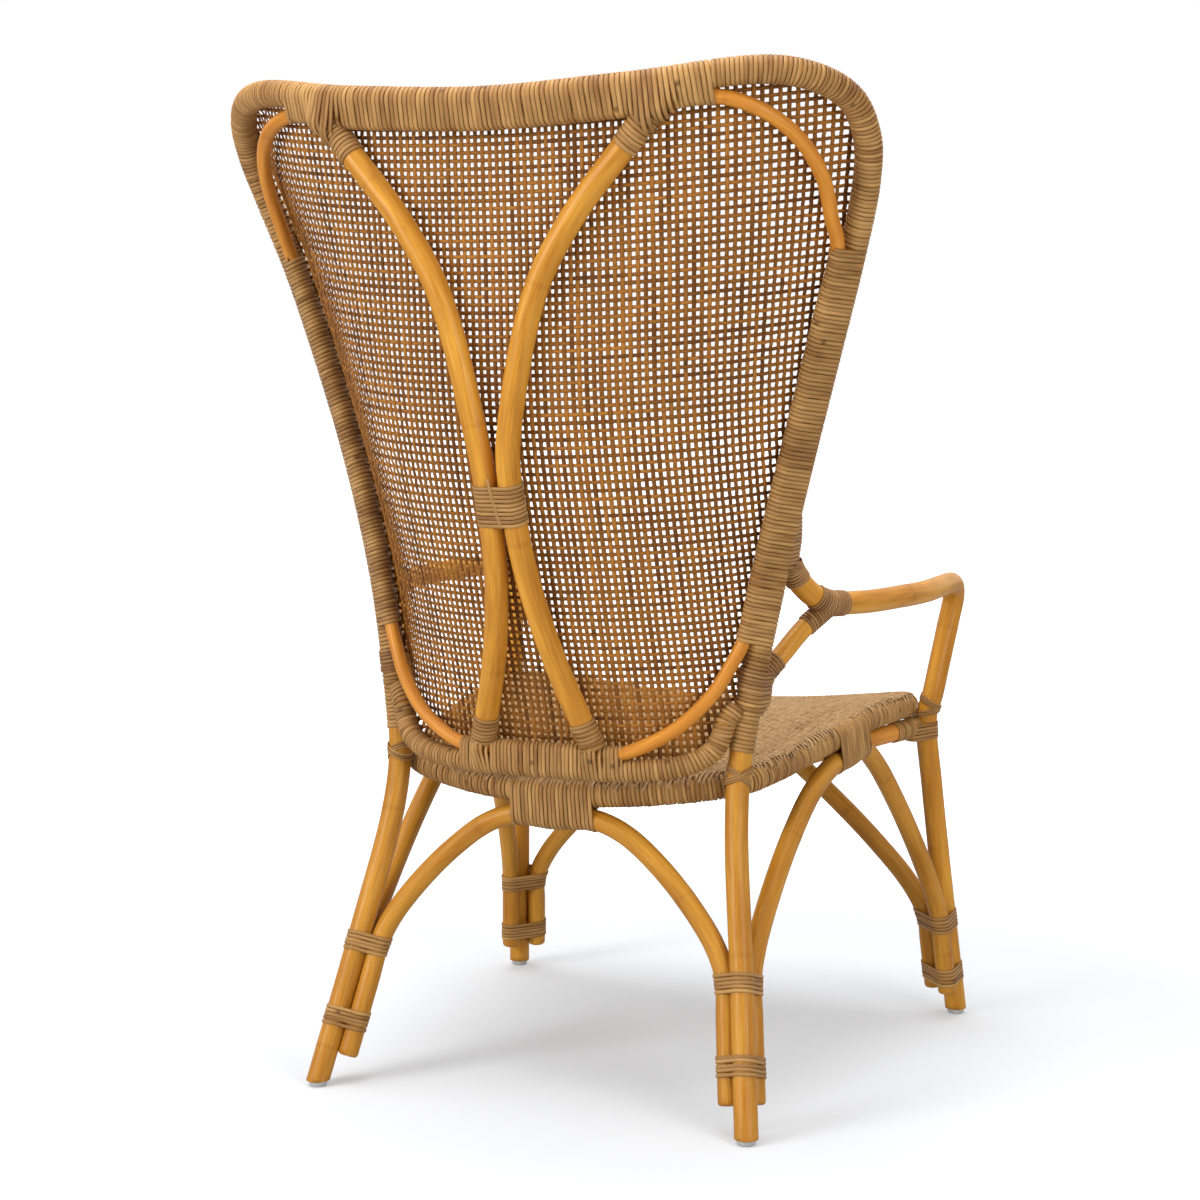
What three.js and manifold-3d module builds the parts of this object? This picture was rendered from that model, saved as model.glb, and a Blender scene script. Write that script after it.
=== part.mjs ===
// Peacock chair of bent rattan poles, bound with flat cane, with an open cane back and a woven seat.
// Millimetres, +Z up. The sitter faces -Y. The left half (+X) is modelled and the right half mirrors it.
import * as THREE from 'three';
import { mergeVertices } from 'three/addons/utils/BufferGeometryUtils.js';
import Module from 'manifold-3d';

// Pole diameters
const POLE = 27;
const HOOP = 16;
const BOTTOM_RAIL = 22;
const SEAT_RING = 27;
const ARCH = 24;
const BRACE = 22;
const SIDE_RAIL = 20;

// Cane: thickness of wraps and lashings, and the size of a flat strip with the gap to its next turn
const WRAP = 1.5;
const LASH = 2.5;
const STRIP_WIDTH = 4.3;
const STRIP_GAP = 0.5;

// Clearances: of cut pieces, of a wrap over a bent pole, and between poles that are bound together
const FIT = 0.35;
const SLACK = 0.6;
const BUNDLE_GAP = 0.9;

// Back: a curved surface given at five equal levels between its base and its top
const BACK_BASE = 390;
const BACK_TOP = 1150;
const BACK_HALF_WIDTHS = [216.6, 245, 291, 347, 404];
const POST_DEPTHS = [-111, -125, -122, -100, -60];
const MIDDLE_DEPTHS = [-42, 14, 70, 84, 93];
const BACK_ROUNDNESS = [2.5, 3.75];

// Rim: rear legs, posts and top rail are one continuous line; drops are measured from the back's top
const REAR_FOOT_HALF_SPREAD = 271;
const REAR_ANKLE = { out: 243, back: -55, height: 170 };
const REAR_HIP = { out: 219, back: -98, height: 320 };
const POST_DROP = 190;
const UPPER_POST = { out: 371, drop: 110 };
const SHOULDER = { out: 378, drop: 65 };
const KNUCKLE = { out: 368, drop: 27 };
const CREST = { out: 318, drop: 4 };
const TOP_RAIL_QUARTER = { out: 164, drop: 19 };
const TOP_RAIL_DIP = 27;

// Inner hoop: where it leaves the posts and rails, and the bows that cross the four corners,
// as places out from the middle and up from the bottom rail or down from the back's top
const SIDE_BUNDLE_RISE = 143;
const SIDE_BUNDLE_DROP = 180;
const TOP_BUNDLE_HALF = 250;
const BOTTOM_BUNDLE_HALF = 100;
const LOWER_BOW = [[157, 48], [195, 88], [213, 122]];
const UPPER_BOW = [[338.8, 150], [338.5, 110], [323.7, 70], [294, 43]];

// Bottom rail of the back: its height at the middle, and how far its ends rise above that
const BOTTOM_RAIL_HEIGHT = 392;
const BOTTOM_RAIL_TURN = { out: 162, rise: 6 };
const BOTTOM_RAIL_TOE = { out: 190, rise: 20 };
const BOTTOM_RAIL_RISE = 64;

// Spines, as places out from the middle and up from the bottom rail or down from the back's top
const SPINE_GAP = 3;
const WAIST_HEIGHT = 695;
const SPINE_LOWER = [[69, 26], [37, 128], [20, 213]];
const SPINE_UPPER = [[19, 385], [57, 230], [103, 150], [161, 80], [188, 46]];
const WAIST_TURNS = 9;
const SPINE_WRAP_TOP = 44;
const SPINE_WRAP_FOOT = 34;

// Seat: ring, deck and the rails below the deck
const SEAT_BACK = -82;
const SEAT_FRONT = -605;
const SEAT_HEIGHTS = [356, 370, 389, 388];
const SEAT_CURL = 0.00031;
const SEAT_REAR_SHOULDER = [110, -97];
const SEAT_SIDE = [[222, -185], [232, -240], [249, -340], [258, -430], [265, -520]];
const SEAT_CORNER = [[245, -594], [212, -603], [110, -605]];
const DECK_THICKNESS = 3;
const DECK_GAP = 0.9;
const DECK_RINGS = [0.03, 0.5, 1];
const SIDE_RAIL_REAR = 136;
const SIDE_RAIL_INSET = [-17, 9];
const RING_FROM_REAR_LEG = [-0.43, -0.9];
const RING_FROM_FRONT_LEG = [-0.93, 0.36];

// Front legs with the arms
const FRONT_FOOT = { out: 318.4, back: -633.7 };
const FRONT_SHIN = { out: 295.6, back: -589.8, height: 300 };
const FRONT_KNEE = { out: 291, back: -576, height: 398 };
const FRONT_THIGH = [[298, -577, 424], [303, -586, 460], [311, -602, 520]];
const ARM_BEND = [[316, -605, 549], [320, -588, 565]];
const ARM_HEIGHT = 571;
const ARM_BOW = [[330, -500], [333, -430], [326, -360], [304, -270]];
const ARM_RISE = [[281, -206, 577], [266, -177, 597]];
const ARM_END = 652;
const ARM_FROM_POST = [0.1, -1];
const BRACE_FOOT_RISE = 78;
const BRACE_RISE = [[248, -165, 520], [263, -190, 546]];
const BRACE_TOP = -220;

// Arches under the seat
const BRACE_END = 34;
const REAR_BINDINGS = { low: 80, high: 165 };
const FRONT_BINDINGS = { low: 60, high: 131 };
const BINDING_TURNS = 4;
const BAND_LENGTH = 100;
const SIDE_BAND = { back: -367, length: 80 };
const ARCH_TILT = 0.18;
const ARCH_FROM_REAR_LEG = { rear: [-25, -11], side: [1, -26] };
const ARCH_FROM_FRONT_LEG = { front: [-1, 0], side: [0, 1] };
const REAR_ARCH = { leave: 42, reach: 56, drop: 4 };
const FRONT_ARCH = { leave: 50, reach: 45, drop: 22 };
const SIDE_ARCH_REAR = { leave: 36, reach: 86, drop: 2 };
const SIDE_ARCH_FRONT = { leave: 50, reach: 44, drop: 10 };

// Feet
const GLIDE_HEIGHT = 7;
const GLIDE_TOP = 24;
const GLIDE_BOTTOM = 20;

// Lashings, as heights on the poles or lengths along them
const REAR_LASH = { height: 386, length: 24 };
const FRONT_LASH = { height: 412, length: 24 };
const RAIL_LASH = { gap: 14, length: 22 };
const POST_WRAP_GAP = 16;
const ARM_TIE = { height: 633, length: 56 };
const BRACE_TIE = { rise: 102, length: 26 };
const ARM_JOINT = { length: 40, branch: 42 };

// Back web
const WEB_THICKNESS = 2.4;
const WEB_COLUMNS = 7;
const WEB_ROWS = 7;
const WEB_BAR = 16;
const WEB_INSET = 22;

// Facets round a pole and steps along it
const POLE_SIDES = 8;
const HOOP_SIDES = 6;
const ARCH_SIDES = 6;
const WRAP_SIDES = 8;
const STRIP_SIDES = 8;
const GLIDE_SIDES = 10;
const LEG_STEPS = 21;
const TOP_RAIL_STEPS = 22;
const BOTTOM_RAIL_STEPS = 16;
const HOOP_STEPS = 62;
const SPINE_STEPS = 15;
const ARM_STEPS = 32;
const BRACE_STEPS = 8;
const RING_STEPS = 38;
const ARCH_STEPS = 26;

const CANE = { color: 0xa88660, roughness: 0.65, metalness: 0 };
const RATTAN = { color: 0xd9a04a, roughness: 0.35, metalness: 0 };
const DARK_CANE = { color: 0x6b4524, roughness: 0.6, metalness: 0 };
const PLASTIC = { color: 0xb9b9b6, roughness: 0.5, metalness: 0 };

const wasm = await Module();
wasm.setup();

const vec = (x, y, z) => new THREE.Vector3(x, y, z);
const UP = vec(0, 0, 1);
const BACKWARD = vec(0, 1, 0);
const mirrored = (point) => vec(-point.x, point.y, point.z);
const POLE_RADIUS = POLE / 2;

// Solids for joining and cutting

function toSolid(geometry) {
  const bare = new THREE.BufferGeometry();
  bare.setAttribute('position', geometry.getAttribute('position'));
  bare.setIndex(geometry.getIndex());
  const merged = mergeVertices(bare, 1e-3);
  const vertProperties = new Float32Array(merged.getAttribute('position').array);
  const triVerts = new Uint32Array(merged.getIndex().array);
  return new wasm.Manifold(new wasm.Mesh({ numProp: 3, vertProperties, triVerts }));
}

function toGeometry(solid) {
  const mesh = solid.getMesh();
  const geometry = new THREE.BufferGeometry();
  geometry.setAttribute('position', new THREE.BufferAttribute(new Float32Array(mesh.vertProperties), 3));
  geometry.setIndex(new THREE.BufferAttribute(new Uint32Array(mesh.triVerts), 1));
  return geometry;
}

function cut(geometry, ...tools) {
  return toGeometry(tools.reduce((solid, tool) => solid.subtract(toSolid(tool)), toSolid(geometry)));
}

function join(first, second) {
  return toGeometry(toSolid(first).add(toSolid(second)));
}

// A closed skin through rings of points that all have the same count
function loft(rings) {
  const count = rings[0].length;
  const last = (rings.length - 1) * count;
  const index = [];
  for (let ring = 0; ring < rings.length - 1; ring += 1) {
    for (let side = 0; side < count; side += 1) {
      const a = ring * count + side;
      const b = ring * count + ((side + 1) % count);
      index.push(a, b, b + count, a, b + count, a + count);
    }
  }
  for (let side = 1; side < count - 1; side += 1) {
    index.push(0, side + 1, side);
    index.push(last, last + side, last + side + 1);
  }
  const geometry = new THREE.BufferGeometry().setFromPoints(rings.flat());
  geometry.setIndex(index);
  return geometry;
}

// A tube between outer and inner rings, closed by a flat rim at each end
function shell(outer, inner) {
  const count = outer[0].length;
  const start = outer.length * count;
  const last = (outer.length - 1) * count;
  const index = [];
  for (let side = 0; side < count; side += 1) {
    const next = (side + 1) % count;
    for (let ring = 0; ring < last; ring += count) {
      const a = ring + side;
      const b = ring + next;
      index.push(a, b, b + count, a, b + count, a + count);
      index.push(start + a, start + b + count, start + b, start + a, start + a + count, start + b + count);
    }
    index.push(side, start + next, next, side, start + side, start + next);
    index.push(last + side, last + next, start + last + next);
    index.push(last + side, start + last + next, start + last + side);
  }
  const geometry = new THREE.BufferGeometry().setFromPoints([...outer, ...inner].flat());
  geometry.setIndex(index);
  return geometry;
}

// Curves

// Part of a curve between two shares of its length
class Stretch extends THREE.Curve {
  constructor(curve, from, to) {
    super();
    this.curve = curve;
    this.from = from;
    this.to = to;
  }

  getPoint(t, target = vec(0, 0, 0)) {
    const share = THREE.MathUtils.lerp(this.from, this.to, t);
    return this.curve.getPointAt(share < 0 ? share + 1 : share, target);
  }
}

const smooth = (points, closed = false) => new THREE.CatmullRomCurve3(points, closed, 'centripetal');

const FINE = 600;

// Share of a curve's length at which a measure of its points first passes a value
function where(curve, measure, value) {
  let before = measure(curve.getPointAt(0)) - value;
  for (let step = 1; step <= FINE; step += 1) {
    const after = measure(curve.getPointAt(step / FINE)) - value;
    if (before === 0 || before * after < 0) return (step - 1 + before / (before - after)) / FINE;
    before = after;
  }
  throw new Error(`no point of the curve has the value ${value}`);
}

const atHeight = (curve, height) => where(curve, (point) => point.z, height);
const pointAtHeight = (curve, height) => curve.getPointAt(atHeight(curve, height));

// A round pole along a curve
function pole(curve, diameter, steps, sides = POLE_SIDES) {
  return { curve, radius: diameter / 2, steps, sides, line: curve.getSpacedPoints(FINE) };
}

// The pole's solid, or with a growth the hole that another piece leaves for it
function bar({ curve, radius, steps, sides }, growth = 0) {
  if (curve.closed) return new THREE.TubeGeometry(curve, steps, radius + growth, sides, true);
  const outline = [];
  for (let side = 0; side < sides; side += 1) {
    const angle = (side / sides) * 2 * Math.PI;
    outline.push(new THREE.Vector2(Math.cos(angle), Math.sin(angle)).multiplyScalar(radius + growth));
  }
  const options = { steps, extrudePath: curve, bevelEnabled: false };
  return new THREE.ExtrudeGeometry(new THREE.Shape(outline), options);
}

const bore = (member) => bar(member, FIT);

// Radius that a wrapped pole keeps clear for, to the corners of its faceted wrap
const wrappedRadius = (diameter) => (diameter / 2 + SLACK + WRAP) / Math.cos(Math.PI / WRAP_SIDES);
const wrapped = (member) => ({ ...member, radius: wrappedRadius(2 * member.radius) });

// Sleeves: the taut outline of cane drawn round one or more poles

// The circle that a pole makes in the plane through a point of the path
function crossing(member, origin, normal) {
  let best = null;
  for (let i = 0; i < member.line.length - 1; i += 1) {
    const from = member.line[i];
    const to = member.line[i + 1];
    const a = from.clone().sub(origin).dot(normal);
    const b = to.clone().sub(origin).dot(normal);
    if (a * b > 0 || a === b) continue;
    const centre = from.clone().lerp(to, a / (a - b)).sub(origin);
    if (best && best.centre.length() <= centre.length()) continue;
    const lean = Math.abs(to.clone().sub(from).normalize().dot(normal));
    best = { centre, radius: member.radius / lean };
  }
  return best;
}

function frameAt(path, share, reference) {
  const origin = path.getPointAt(share);
  const normal = path.getTangentAt(share);
  const first = reference.clone().addScaledVector(normal, -reference.dot(normal)).normalize();
  return { origin, normal, first, second: normal.clone().cross(first) };
}

// Corners of the outline whose sides touch the circles, grown by the given amount
function outlineAt({ origin, normal, first, second }, members, sides, growth) {
  const circles = members.map((member) => crossing(member, origin, normal)).filter(Boolean);
  const reach = [];
  for (let side = 0; side < sides; side += 1) {
    const angle = (side / sides) * 2 * Math.PI;
    const direction = first.clone().multiplyScalar(Math.cos(angle));
    direction.addScaledVector(second, Math.sin(angle));
    reach.push(Math.max(...circles.map((circle) => circle.centre.dot(direction) + circle.radius)) + growth);
  }
  return cornersOf(reach, { origin, first, second });
}

function cornersOf(reach, { origin, first, second }) {
  const sides = reach.length;
  const turn = (2 * Math.PI) / sides;
  return reach.map((near, side) => {
    const far = reach[(side + 1) % sides];
    const angle = side * turn;
    const along = (far - near * Math.cos(turn)) / Math.sin(turn);
    const x = near * Math.cos(angle) - along * Math.sin(angle);
    const y = near * Math.sin(angle) + along * Math.cos(angle);
    return origin.clone().addScaledVector(first, x).addScaledVector(second, y);
  });
}

// A sleeve follows a path; each member is inside it between two shares of the path
function sleeve(path, stations, reference, members, thickness = WRAP) {
  return { path, stations, reference, members, thickness };
}

// Outlines of a sleeve at its stations; a member counts a little longer on the outside than on the inside
function outlines({ path, stations, reference, members }, growth, overrun) {
  return stations.map((share) => {
    const held = members.filter(({ from = 0, to = 1 }) => share > from - overrun && share < to + overrun);
    return outlineAt(
      frameAt(path, share, reference), held.map(({ member }) => member), WRAP_SIDES, growth);
  });
}

// The space that a sleeve fills with all that it holds, grown by a clearance
function envelope(wrap, growth = FIT) {
  return loft(outlines(wrap, SLACK + wrap.thickness + growth, wrap.thickness * 1.5 / wrap.path.getLength()));
}

// The sleeve itself, hollow and open at both ends
function hull(wrap) {
  const step = wrap.thickness / wrap.path.getLength();
  const outer = outlines(wrap, SLACK + wrap.thickness, 1.5 * step);
  const inner = outlines(wrap, SLACK, 0.5 * step);
  return shell(outer, inner);
}

function evenly(from, to, count) {
  return Array.from({ length: count + 1 }, (_, i) => THREE.MathUtils.lerp(from, to, i / count));
}

// Stations with two short steps before a member starts and after it stops
function stationsWith(plain, starts, stops, length) {
  const step = WRAP / length;
  const added = [
    ...starts.flatMap((share) => [share - 2 * step, share - step, share]),
    ...stops.flatMap((share) => [share, share + step, share + 2 * step]),
  ];
  const kept = plain.filter((share) => added.every((other) => Math.abs(share - other) > 2 * step));
  return [...kept, ...added].sort((a, b) => a - b);
}

// A flat strip wound round several poles, as one unbroken helix
function winding(name, path, middle, reference, members, turns) {
  const frame = frameAt(path, middle, reference);
  const pitch = STRIP_WIDTH + STRIP_GAP;
  const height = turns * pitch + STRIP_WIDTH;
  const reach = new Array(STRIP_SIDES).fill(0);
  for (const level of [-height / 2, 0, height / 2]) {
    const origin = frame.origin.clone().addScaledVector(frame.normal, level);
    const circles = members.map((member) => crossing(member, origin, frame.normal));
    reach.forEach((value, side) => {
      const angle = (side / STRIP_SIDES) * 2 * Math.PI;
      const direction = frame.first.clone().multiplyScalar(Math.cos(angle));
      direction.addScaledVector(frame.second, Math.sin(angle));
      const touch = circles.map((circle) => circle.centre.dot(direction) + circle.radius);
      reach[side] = Math.max(value, ...touch);
    });
  }
  const inner = cornersOf(reach.map((value) => value + SLACK), frame);
  const outer = cornersOf(reach.map((value) => value + SLACK + WRAP), frame);
  const rings = [];
  for (let step = 0; step <= turns * STRIP_SIDES; step += 1) {
    const low = (pitch * step) / STRIP_SIDES - height / 2;
    const corner = step % STRIP_SIDES;
    const lift = (point, level) => point.clone().addScaledVector(frame.normal, level);
    rings.push([
      lift(inner[corner], low),
      lift(inner[corner], low + STRIP_WIDTH),
      lift(outer[corner], low + STRIP_WIDTH),
      lift(outer[corner], low),
    ]);
  }
  console.log(`${name}: ${turns} turns, least gap between turns ${leastGap(rings).toFixed(2)} mm`);
  return loft(rings);
}

// Least distance between points of a winding that lie more than half a turn apart
function leastGap(rings) {
  let least = Infinity;
  for (let a = 0; a < rings.length; a += 1) {
    for (let b = a + Math.ceil(STRIP_SIDES / 2) + 1; b < rings.length; b += 1) {
      for (const here of rings[a]) {
        for (const there of rings[b]) least = Math.min(least, here.distanceTo(there));
      }
    }
  }
  return least;
}

// Back surface

function levelled(values, height) {
  const curve = new THREE.SplineCurve(values.map((value, i) => new THREE.Vector2(i, value)));
  const share = THREE.MathUtils.clamp((height - BACK_BASE) / (BACK_TOP - BACK_BASE), 0, 1);
  return curve.getPoint(share).y;
}

function backDepth(x, height) {
  const share = THREE.MathUtils.clamp((height - BACK_BASE) / (BACK_TOP - BACK_BASE), 0, 1);
  const roundness = THREE.MathUtils.lerp(...BACK_ROUNDNESS, share);
  const middle = levelled(MIDDLE_DEPTHS, height);
  const edge = levelled(POST_DEPTHS, height);
  return middle - (middle - edge) * (Math.abs(x) / levelled(BACK_HALF_WIDTHS, height)) ** roundness;
}

const onBack = (x, height) => vec(x, backDepth(x, height), height);
const belowTop = (x, drop) => onBack(x, BACK_TOP - drop);
const aboveRail = (x, rise) => onBack(x, BOTTOM_RAIL_HEIGHT + rise);

// Unit vector square to the back surface, pointing to the rear
function backNormal(point) {
  const nudge = 1;
  const slopeX = (backDepth(point.x + nudge, point.z) - backDepth(point.x - nudge, point.z)) / (2 * nudge);
  const slopeZ = (backDepth(point.x, point.z + nudge) - backDepth(point.x, point.z - nudge)) / (2 * nudge);
  return vec(-slopeX, 1, -slopeZ).normalize();
}

// Point at a distance to the inner side of a curve that lies on the back surface
function inside(curve, share, distance, sign = 1) {
  const point = curve.getPointAt(share);
  const inward = curve.getTangentAt(share).cross(backNormal(point)).normalize();
  return point.addScaledVector(inward, sign * distance);
}

// Rim

const rimHalf = [
  vec(REAR_FOOT_HALF_SPREAD, 0, 0),
  vec(REAR_ANKLE.out, REAR_ANKLE.back, REAR_ANKLE.height),
  vec(REAR_HIP.out, REAR_HIP.back, REAR_HIP.height),
];
for (const height of evenly(BACK_BASE, BACK_TOP - POST_DROP, 6)) {
  rimHalf.push(onBack(levelled(BACK_HALF_WIDTHS, height), height));
}
for (const place of [UPPER_POST, SHOULDER, KNUCKLE, CREST, TOP_RAIL_QUARTER]) {
  rimHalf.push(belowTop(place.out, place.drop));
}
const rim = smooth([
  ...rimHalf,
  belowTop(0, TOP_RAIL_DIP),
  ...rimHalf.map(mirrored).reverse(),
]);
const RIM_LENGTH = rim.getLength();
const shoulderShare = atHeight(rim, BACK_TOP - SHOULDER.drop);
const jointShare = FIT / RIM_LENGTH;
const footShare = atHeight(rim, GLIDE_HEIGHT);

const legFrom = footShare / 2;
const railFrom = shoulderShare + jointShare;
const rearLeg = pole(new Stretch(rim, legFrom, shoulderShare), POLE, LEG_STEPS);
const topRail = pole(new Stretch(rim, railFrom, 1 - railFrom), POLE, TOP_RAIL_STEPS);
const rimPole = pole(rim, POLE, LEG_STEPS);
const post = rearLeg.curve;

// Bottom rail: its ends turn up and lie against the posts
const railBesidePost = wrappedRadius(POLE) + wrappedRadius(BOTTOM_RAIL) + FIT;
const railEnd = BOTTOM_RAIL_HEIGHT + BOTTOM_RAIL_RISE;
const bottomRailHalf = [
  aboveRail(BOTTOM_RAIL_TURN.out, BOTTOM_RAIL_TURN.rise),
  aboveRail(BOTTOM_RAIL_TOE.out, BOTTOM_RAIL_TOE.rise),
  inside(rim, atHeight(rim, railEnd - BOTTOM_RAIL), railBesidePost),
  inside(rim, atHeight(rim, railEnd), railBesidePost),
];
const bottomRail = pole(smooth([
  ...bottomRailHalf.slice().reverse(),
  aboveRail(BOTTOM_BUNDLE_HALF, 0),
  aboveRail(0, 0),
  aboveRail(-BOTTOM_BUNDLE_HALF, 0),
  ...bottomRailHalf.map(mirrored),
]), BOTTOM_RAIL, BOTTOM_RAIL_STEPS);

// Inner hoop
const hoopBesidePost = (POLE + HOOP) / 2 + BUNDLE_GAP;
const hoopAboveRail = (BOTTOM_RAIL + HOOP) / 2 + BUNDLE_GAP;
const sideBundle = {
  from: atHeight(rim, BOTTOM_RAIL_HEIGHT + SIDE_BUNDLE_RISE),
  to: atHeight(rim, BACK_TOP - SIDE_BUNDLE_DROP),
};
const acrossTo = (curve, out) => where(curve, (point) => -point.x, -out);
const crestHalf = new Stretch(rim, shoulderShare, 1);
const crestShare = (out) => THREE.MathUtils.lerp(shoulderShare, 1, acrossTo(crestHalf, out));
const hoopHalf = [
  ...evenly(0, BOTTOM_BUNDLE_HALF, 3).slice(1)
    .map((out) => inside(bottomRail.curve, acrossTo(bottomRail.curve, out), hoopAboveRail, -1)),
  ...LOWER_BOW.map(([x, rise]) => aboveRail(x, rise)),
  ...evenly(sideBundle.from, sideBundle.to, 6).map((share) => inside(rim, share, hoopBesidePost)),
  ...UPPER_BOW.map(([x, drop]) => belowTop(x, drop)),
  ...evenly(TOP_BUNDLE_HALF, 0, 3).slice(0, -1)
    .map((out) => inside(rim, crestShare(out), hoopBesidePost)),
];
const hoopCurve = smooth([
  inside(bottomRail.curve, 0.5, hoopAboveRail, -1),
  ...hoopHalf,
  inside(rim, 0.5, hoopBesidePost),
  ...hoopHalf.map(mirrored).reverse(),
], true);
const innerHoop = pole(hoopCurve, HOOP, HOOP_STEPS, HOOP_SIDES);

// Spines
const waistOffset = (POLE + SPINE_GAP) / 2;
const spine = pole(smooth([
  ...SPINE_LOWER.map(([x, rise]) => aboveRail(x, rise)),
  onBack(waistOffset, WAIST_HEIGHT - POLE),
  onBack(waistOffset, WAIST_HEIGHT + POLE),
  ...SPINE_UPPER.map(([x, drop]) => belowTop(x, drop)),
]), POLE, SPINE_STEPS);
const spineTwin = pole(smooth(spine.curve.points.map(mirrored)), POLE, spine.steps);

// Front leg and arm, with the brace from the arm to the post
const postAt = (height) => pointAtHeight(post, height);
const beforePost = (height, distance) => postAt(height).add(vec(...ARM_FROM_POST, 0).setLength(distance));
const armBeforePost = wrappedRadius(POLE) + POLE_RADIUS + FIT;
const frontLegCurve = smooth([
  vec(FRONT_FOOT.out, FRONT_FOOT.back, 0),
  vec(FRONT_SHIN.out, FRONT_SHIN.back, FRONT_SHIN.height),
  vec(FRONT_KNEE.out, FRONT_KNEE.back, FRONT_KNEE.height),
  ...FRONT_THIGH.map((place) => vec(...place)),
  ...ARM_BEND.map((place) => vec(...place)),
  ...ARM_BOW.map(([x, y]) => vec(x, y, ARM_HEIGHT)),
  ...ARM_RISE.map((place) => vec(...place)),
  beforePost(ARM_END - POLE, armBeforePost),
  beforePost(ARM_END, armBeforePost),
]);
const frontLeg = pole(frontLegCurve, POLE, ARM_STEPS);
const shareAtArm = where(frontLegCurve, (point) => point.y, ARM_BOW[0][1]);
const arm = new Stretch(frontLegCurve, shareAtArm, 1);
const armTop = arm.getPointAt(where(arm, (point) => point.y, BRACE_TOP));
const braceBeforePost = wrappedRadius(POLE) + BRACE / 2 + FIT;
const braceTieHeight = BOTTOM_RAIL_HEIGHT + BRACE_TIE.rise;
const armBrace = pole(smooth([
  beforePost(BOTTOM_RAIL_HEIGHT + BRACE_FOOT_RISE, braceBeforePost),
  beforePost(braceTieHeight, braceBeforePost),
  ...BRACE_RISE.map((place) => vec(...place)),
  armTop,
]), BRACE, BRACE_STEPS);

// Seat ring: a dished loop that passes just inside the four legs
function seatHeight(x, y) {
  const curve = new THREE.SplineCurve(SEAT_HEIGHTS.map((value, i) => new THREE.Vector2(i, value)));
  const share = THREE.MathUtils.clamp((y - SEAT_BACK) / (SEAT_FRONT - SEAT_BACK), 0, 1);
  return curve.getPoint(share).y + SEAT_CURL * x * x;
}
const onSeat = (x, y) => vec(x, y, seatHeight(x, y));
const ringBesideLeg = POLE_RADIUS + wrappedRadius(SEAT_RING) + FIT;
function besideLeg(point, direction) {
  const place = point.clone().add(vec(...direction, 0).setLength(ringBesideLeg));
  return onSeat(place.x, place.y);
}
const ringHalf = [
  onSeat(...SEAT_REAR_SHOULDER),
  besideLeg(postAt(REAR_LASH.height), RING_FROM_REAR_LEG),
  ...SEAT_SIDE.map(([x, y]) => onSeat(x, y)),
  besideLeg(pointAtHeight(frontLegCurve, FRONT_LASH.height), RING_FROM_FRONT_LEG),
  ...SEAT_CORNER.map(([x, y]) => onSeat(x, y)),
];
const ringCurve = smooth([
  onSeat(0, SEAT_BACK),
  ...ringHalf,
  onSeat(0, SEAT_FRONT),
  ...ringHalf.map(mirrored).reverse(),
], true);
const RING_LENGTH = ringCurve.getLength();
const seatRing = pole(ringCurve, SEAT_RING, RING_STEPS);
const SLIT = 1 / RING_LENGTH;
const ringStations = [SLIT, ...evenly(0, 1, RING_STEPS).slice(1, -1), 1 - SLIT];
const ringWrap = sleeve(ringCurve, ringStations, UP, [{ member: seatRing }]);

// Arches: each end lies beside a leg, and the top lies under the wrapped ring
const archBesideLeg = (POLE + ARCH) / 2 + BUNDLE_GAP;
const archBelowRing = wrappedRadius(SEAT_RING) + ARCH / 2 + BUNDLE_GAP;
const ringShareAtSide = where(ringCurve, (point) => point.y, SIDE_BAND.back);

function underRing(share, tilt) {
  const point = ringCurve.getPointAt(share < 0 ? share + 1 : share);
  return point.add(vec(tilt * Math.sign(point.x), 0, -1).setLength(archBelowRing));
}

function archEnd(legCurve, leaveHeight, direction) {
  const beside = vec(...direction, 0).setLength(archBesideLeg);
  return evenly(BRACE_END, leaveHeight, 3).map((height) => pointAtHeight(legCurve, height).add(beside));
}

// Points of the bent stretch between an arch's end beside the leg and its flat top
function archBend(end, top, beforeTop, { leave, reach, drop }) {
  const start = end[end.length - 1];
  const along = start.clone().sub(end[end.length - 2]).setLength(leave);
  const outward = top.clone().sub(beforeTop).setLength(reach);
  const bend = new THREE.CubicBezierCurve3(
    start, start.clone().add(along), top.clone().add(outward).add(vec(0, 0, -drop)), top);
  return bend.getPoints(5).slice(1);
}

function arch(endA, endB, share, length, tilt, shapeA, shapeB) {
  const half = length / 2 / RING_LENGTH;
  const tops = [-1, 0, 1].map((side) => underRing(share + side * half, tilt));
  return pole(smooth([
    ...endA,
    ...archBend(endA, tops[0], tops[1], shapeA),
    tops[1],
    ...archBend(endB, tops[2], tops[1], shapeB).reverse(),
    ...endB.slice().reverse(),
  ]), ARCH, ARCH_STEPS, ARCH_SIDES);
}

const rearEnds = {
  rear: archEnd(post, REAR_BINDINGS.high, ARCH_FROM_REAR_LEG.rear),
  side: archEnd(post, REAR_BINDINGS.high, ARCH_FROM_REAR_LEG.side),
};
const frontEnds = {
  front: archEnd(frontLegCurve, FRONT_BINDINGS.high, ARCH_FROM_FRONT_LEG.front),
  side: archEnd(frontLegCurve, FRONT_BINDINGS.high, ARCH_FROM_FRONT_LEG.side),
};
const rearArch = arch(
  rearEnds.rear.map(mirrored), rearEnds.rear, 0, BAND_LENGTH, 0, REAR_ARCH, REAR_ARCH);
const sideArch = arch(
  rearEnds.side, frontEnds.side, ringShareAtSide, SIDE_BAND.length, ARCH_TILT,
  SIDE_ARCH_REAR, SIDE_ARCH_FRONT);
const frontArch = arch(
  frontEnds.front, frontEnds.front.map(mirrored), 0.5, BAND_LENGTH, 0, FRONT_ARCH, FRONT_ARCH);

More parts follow.
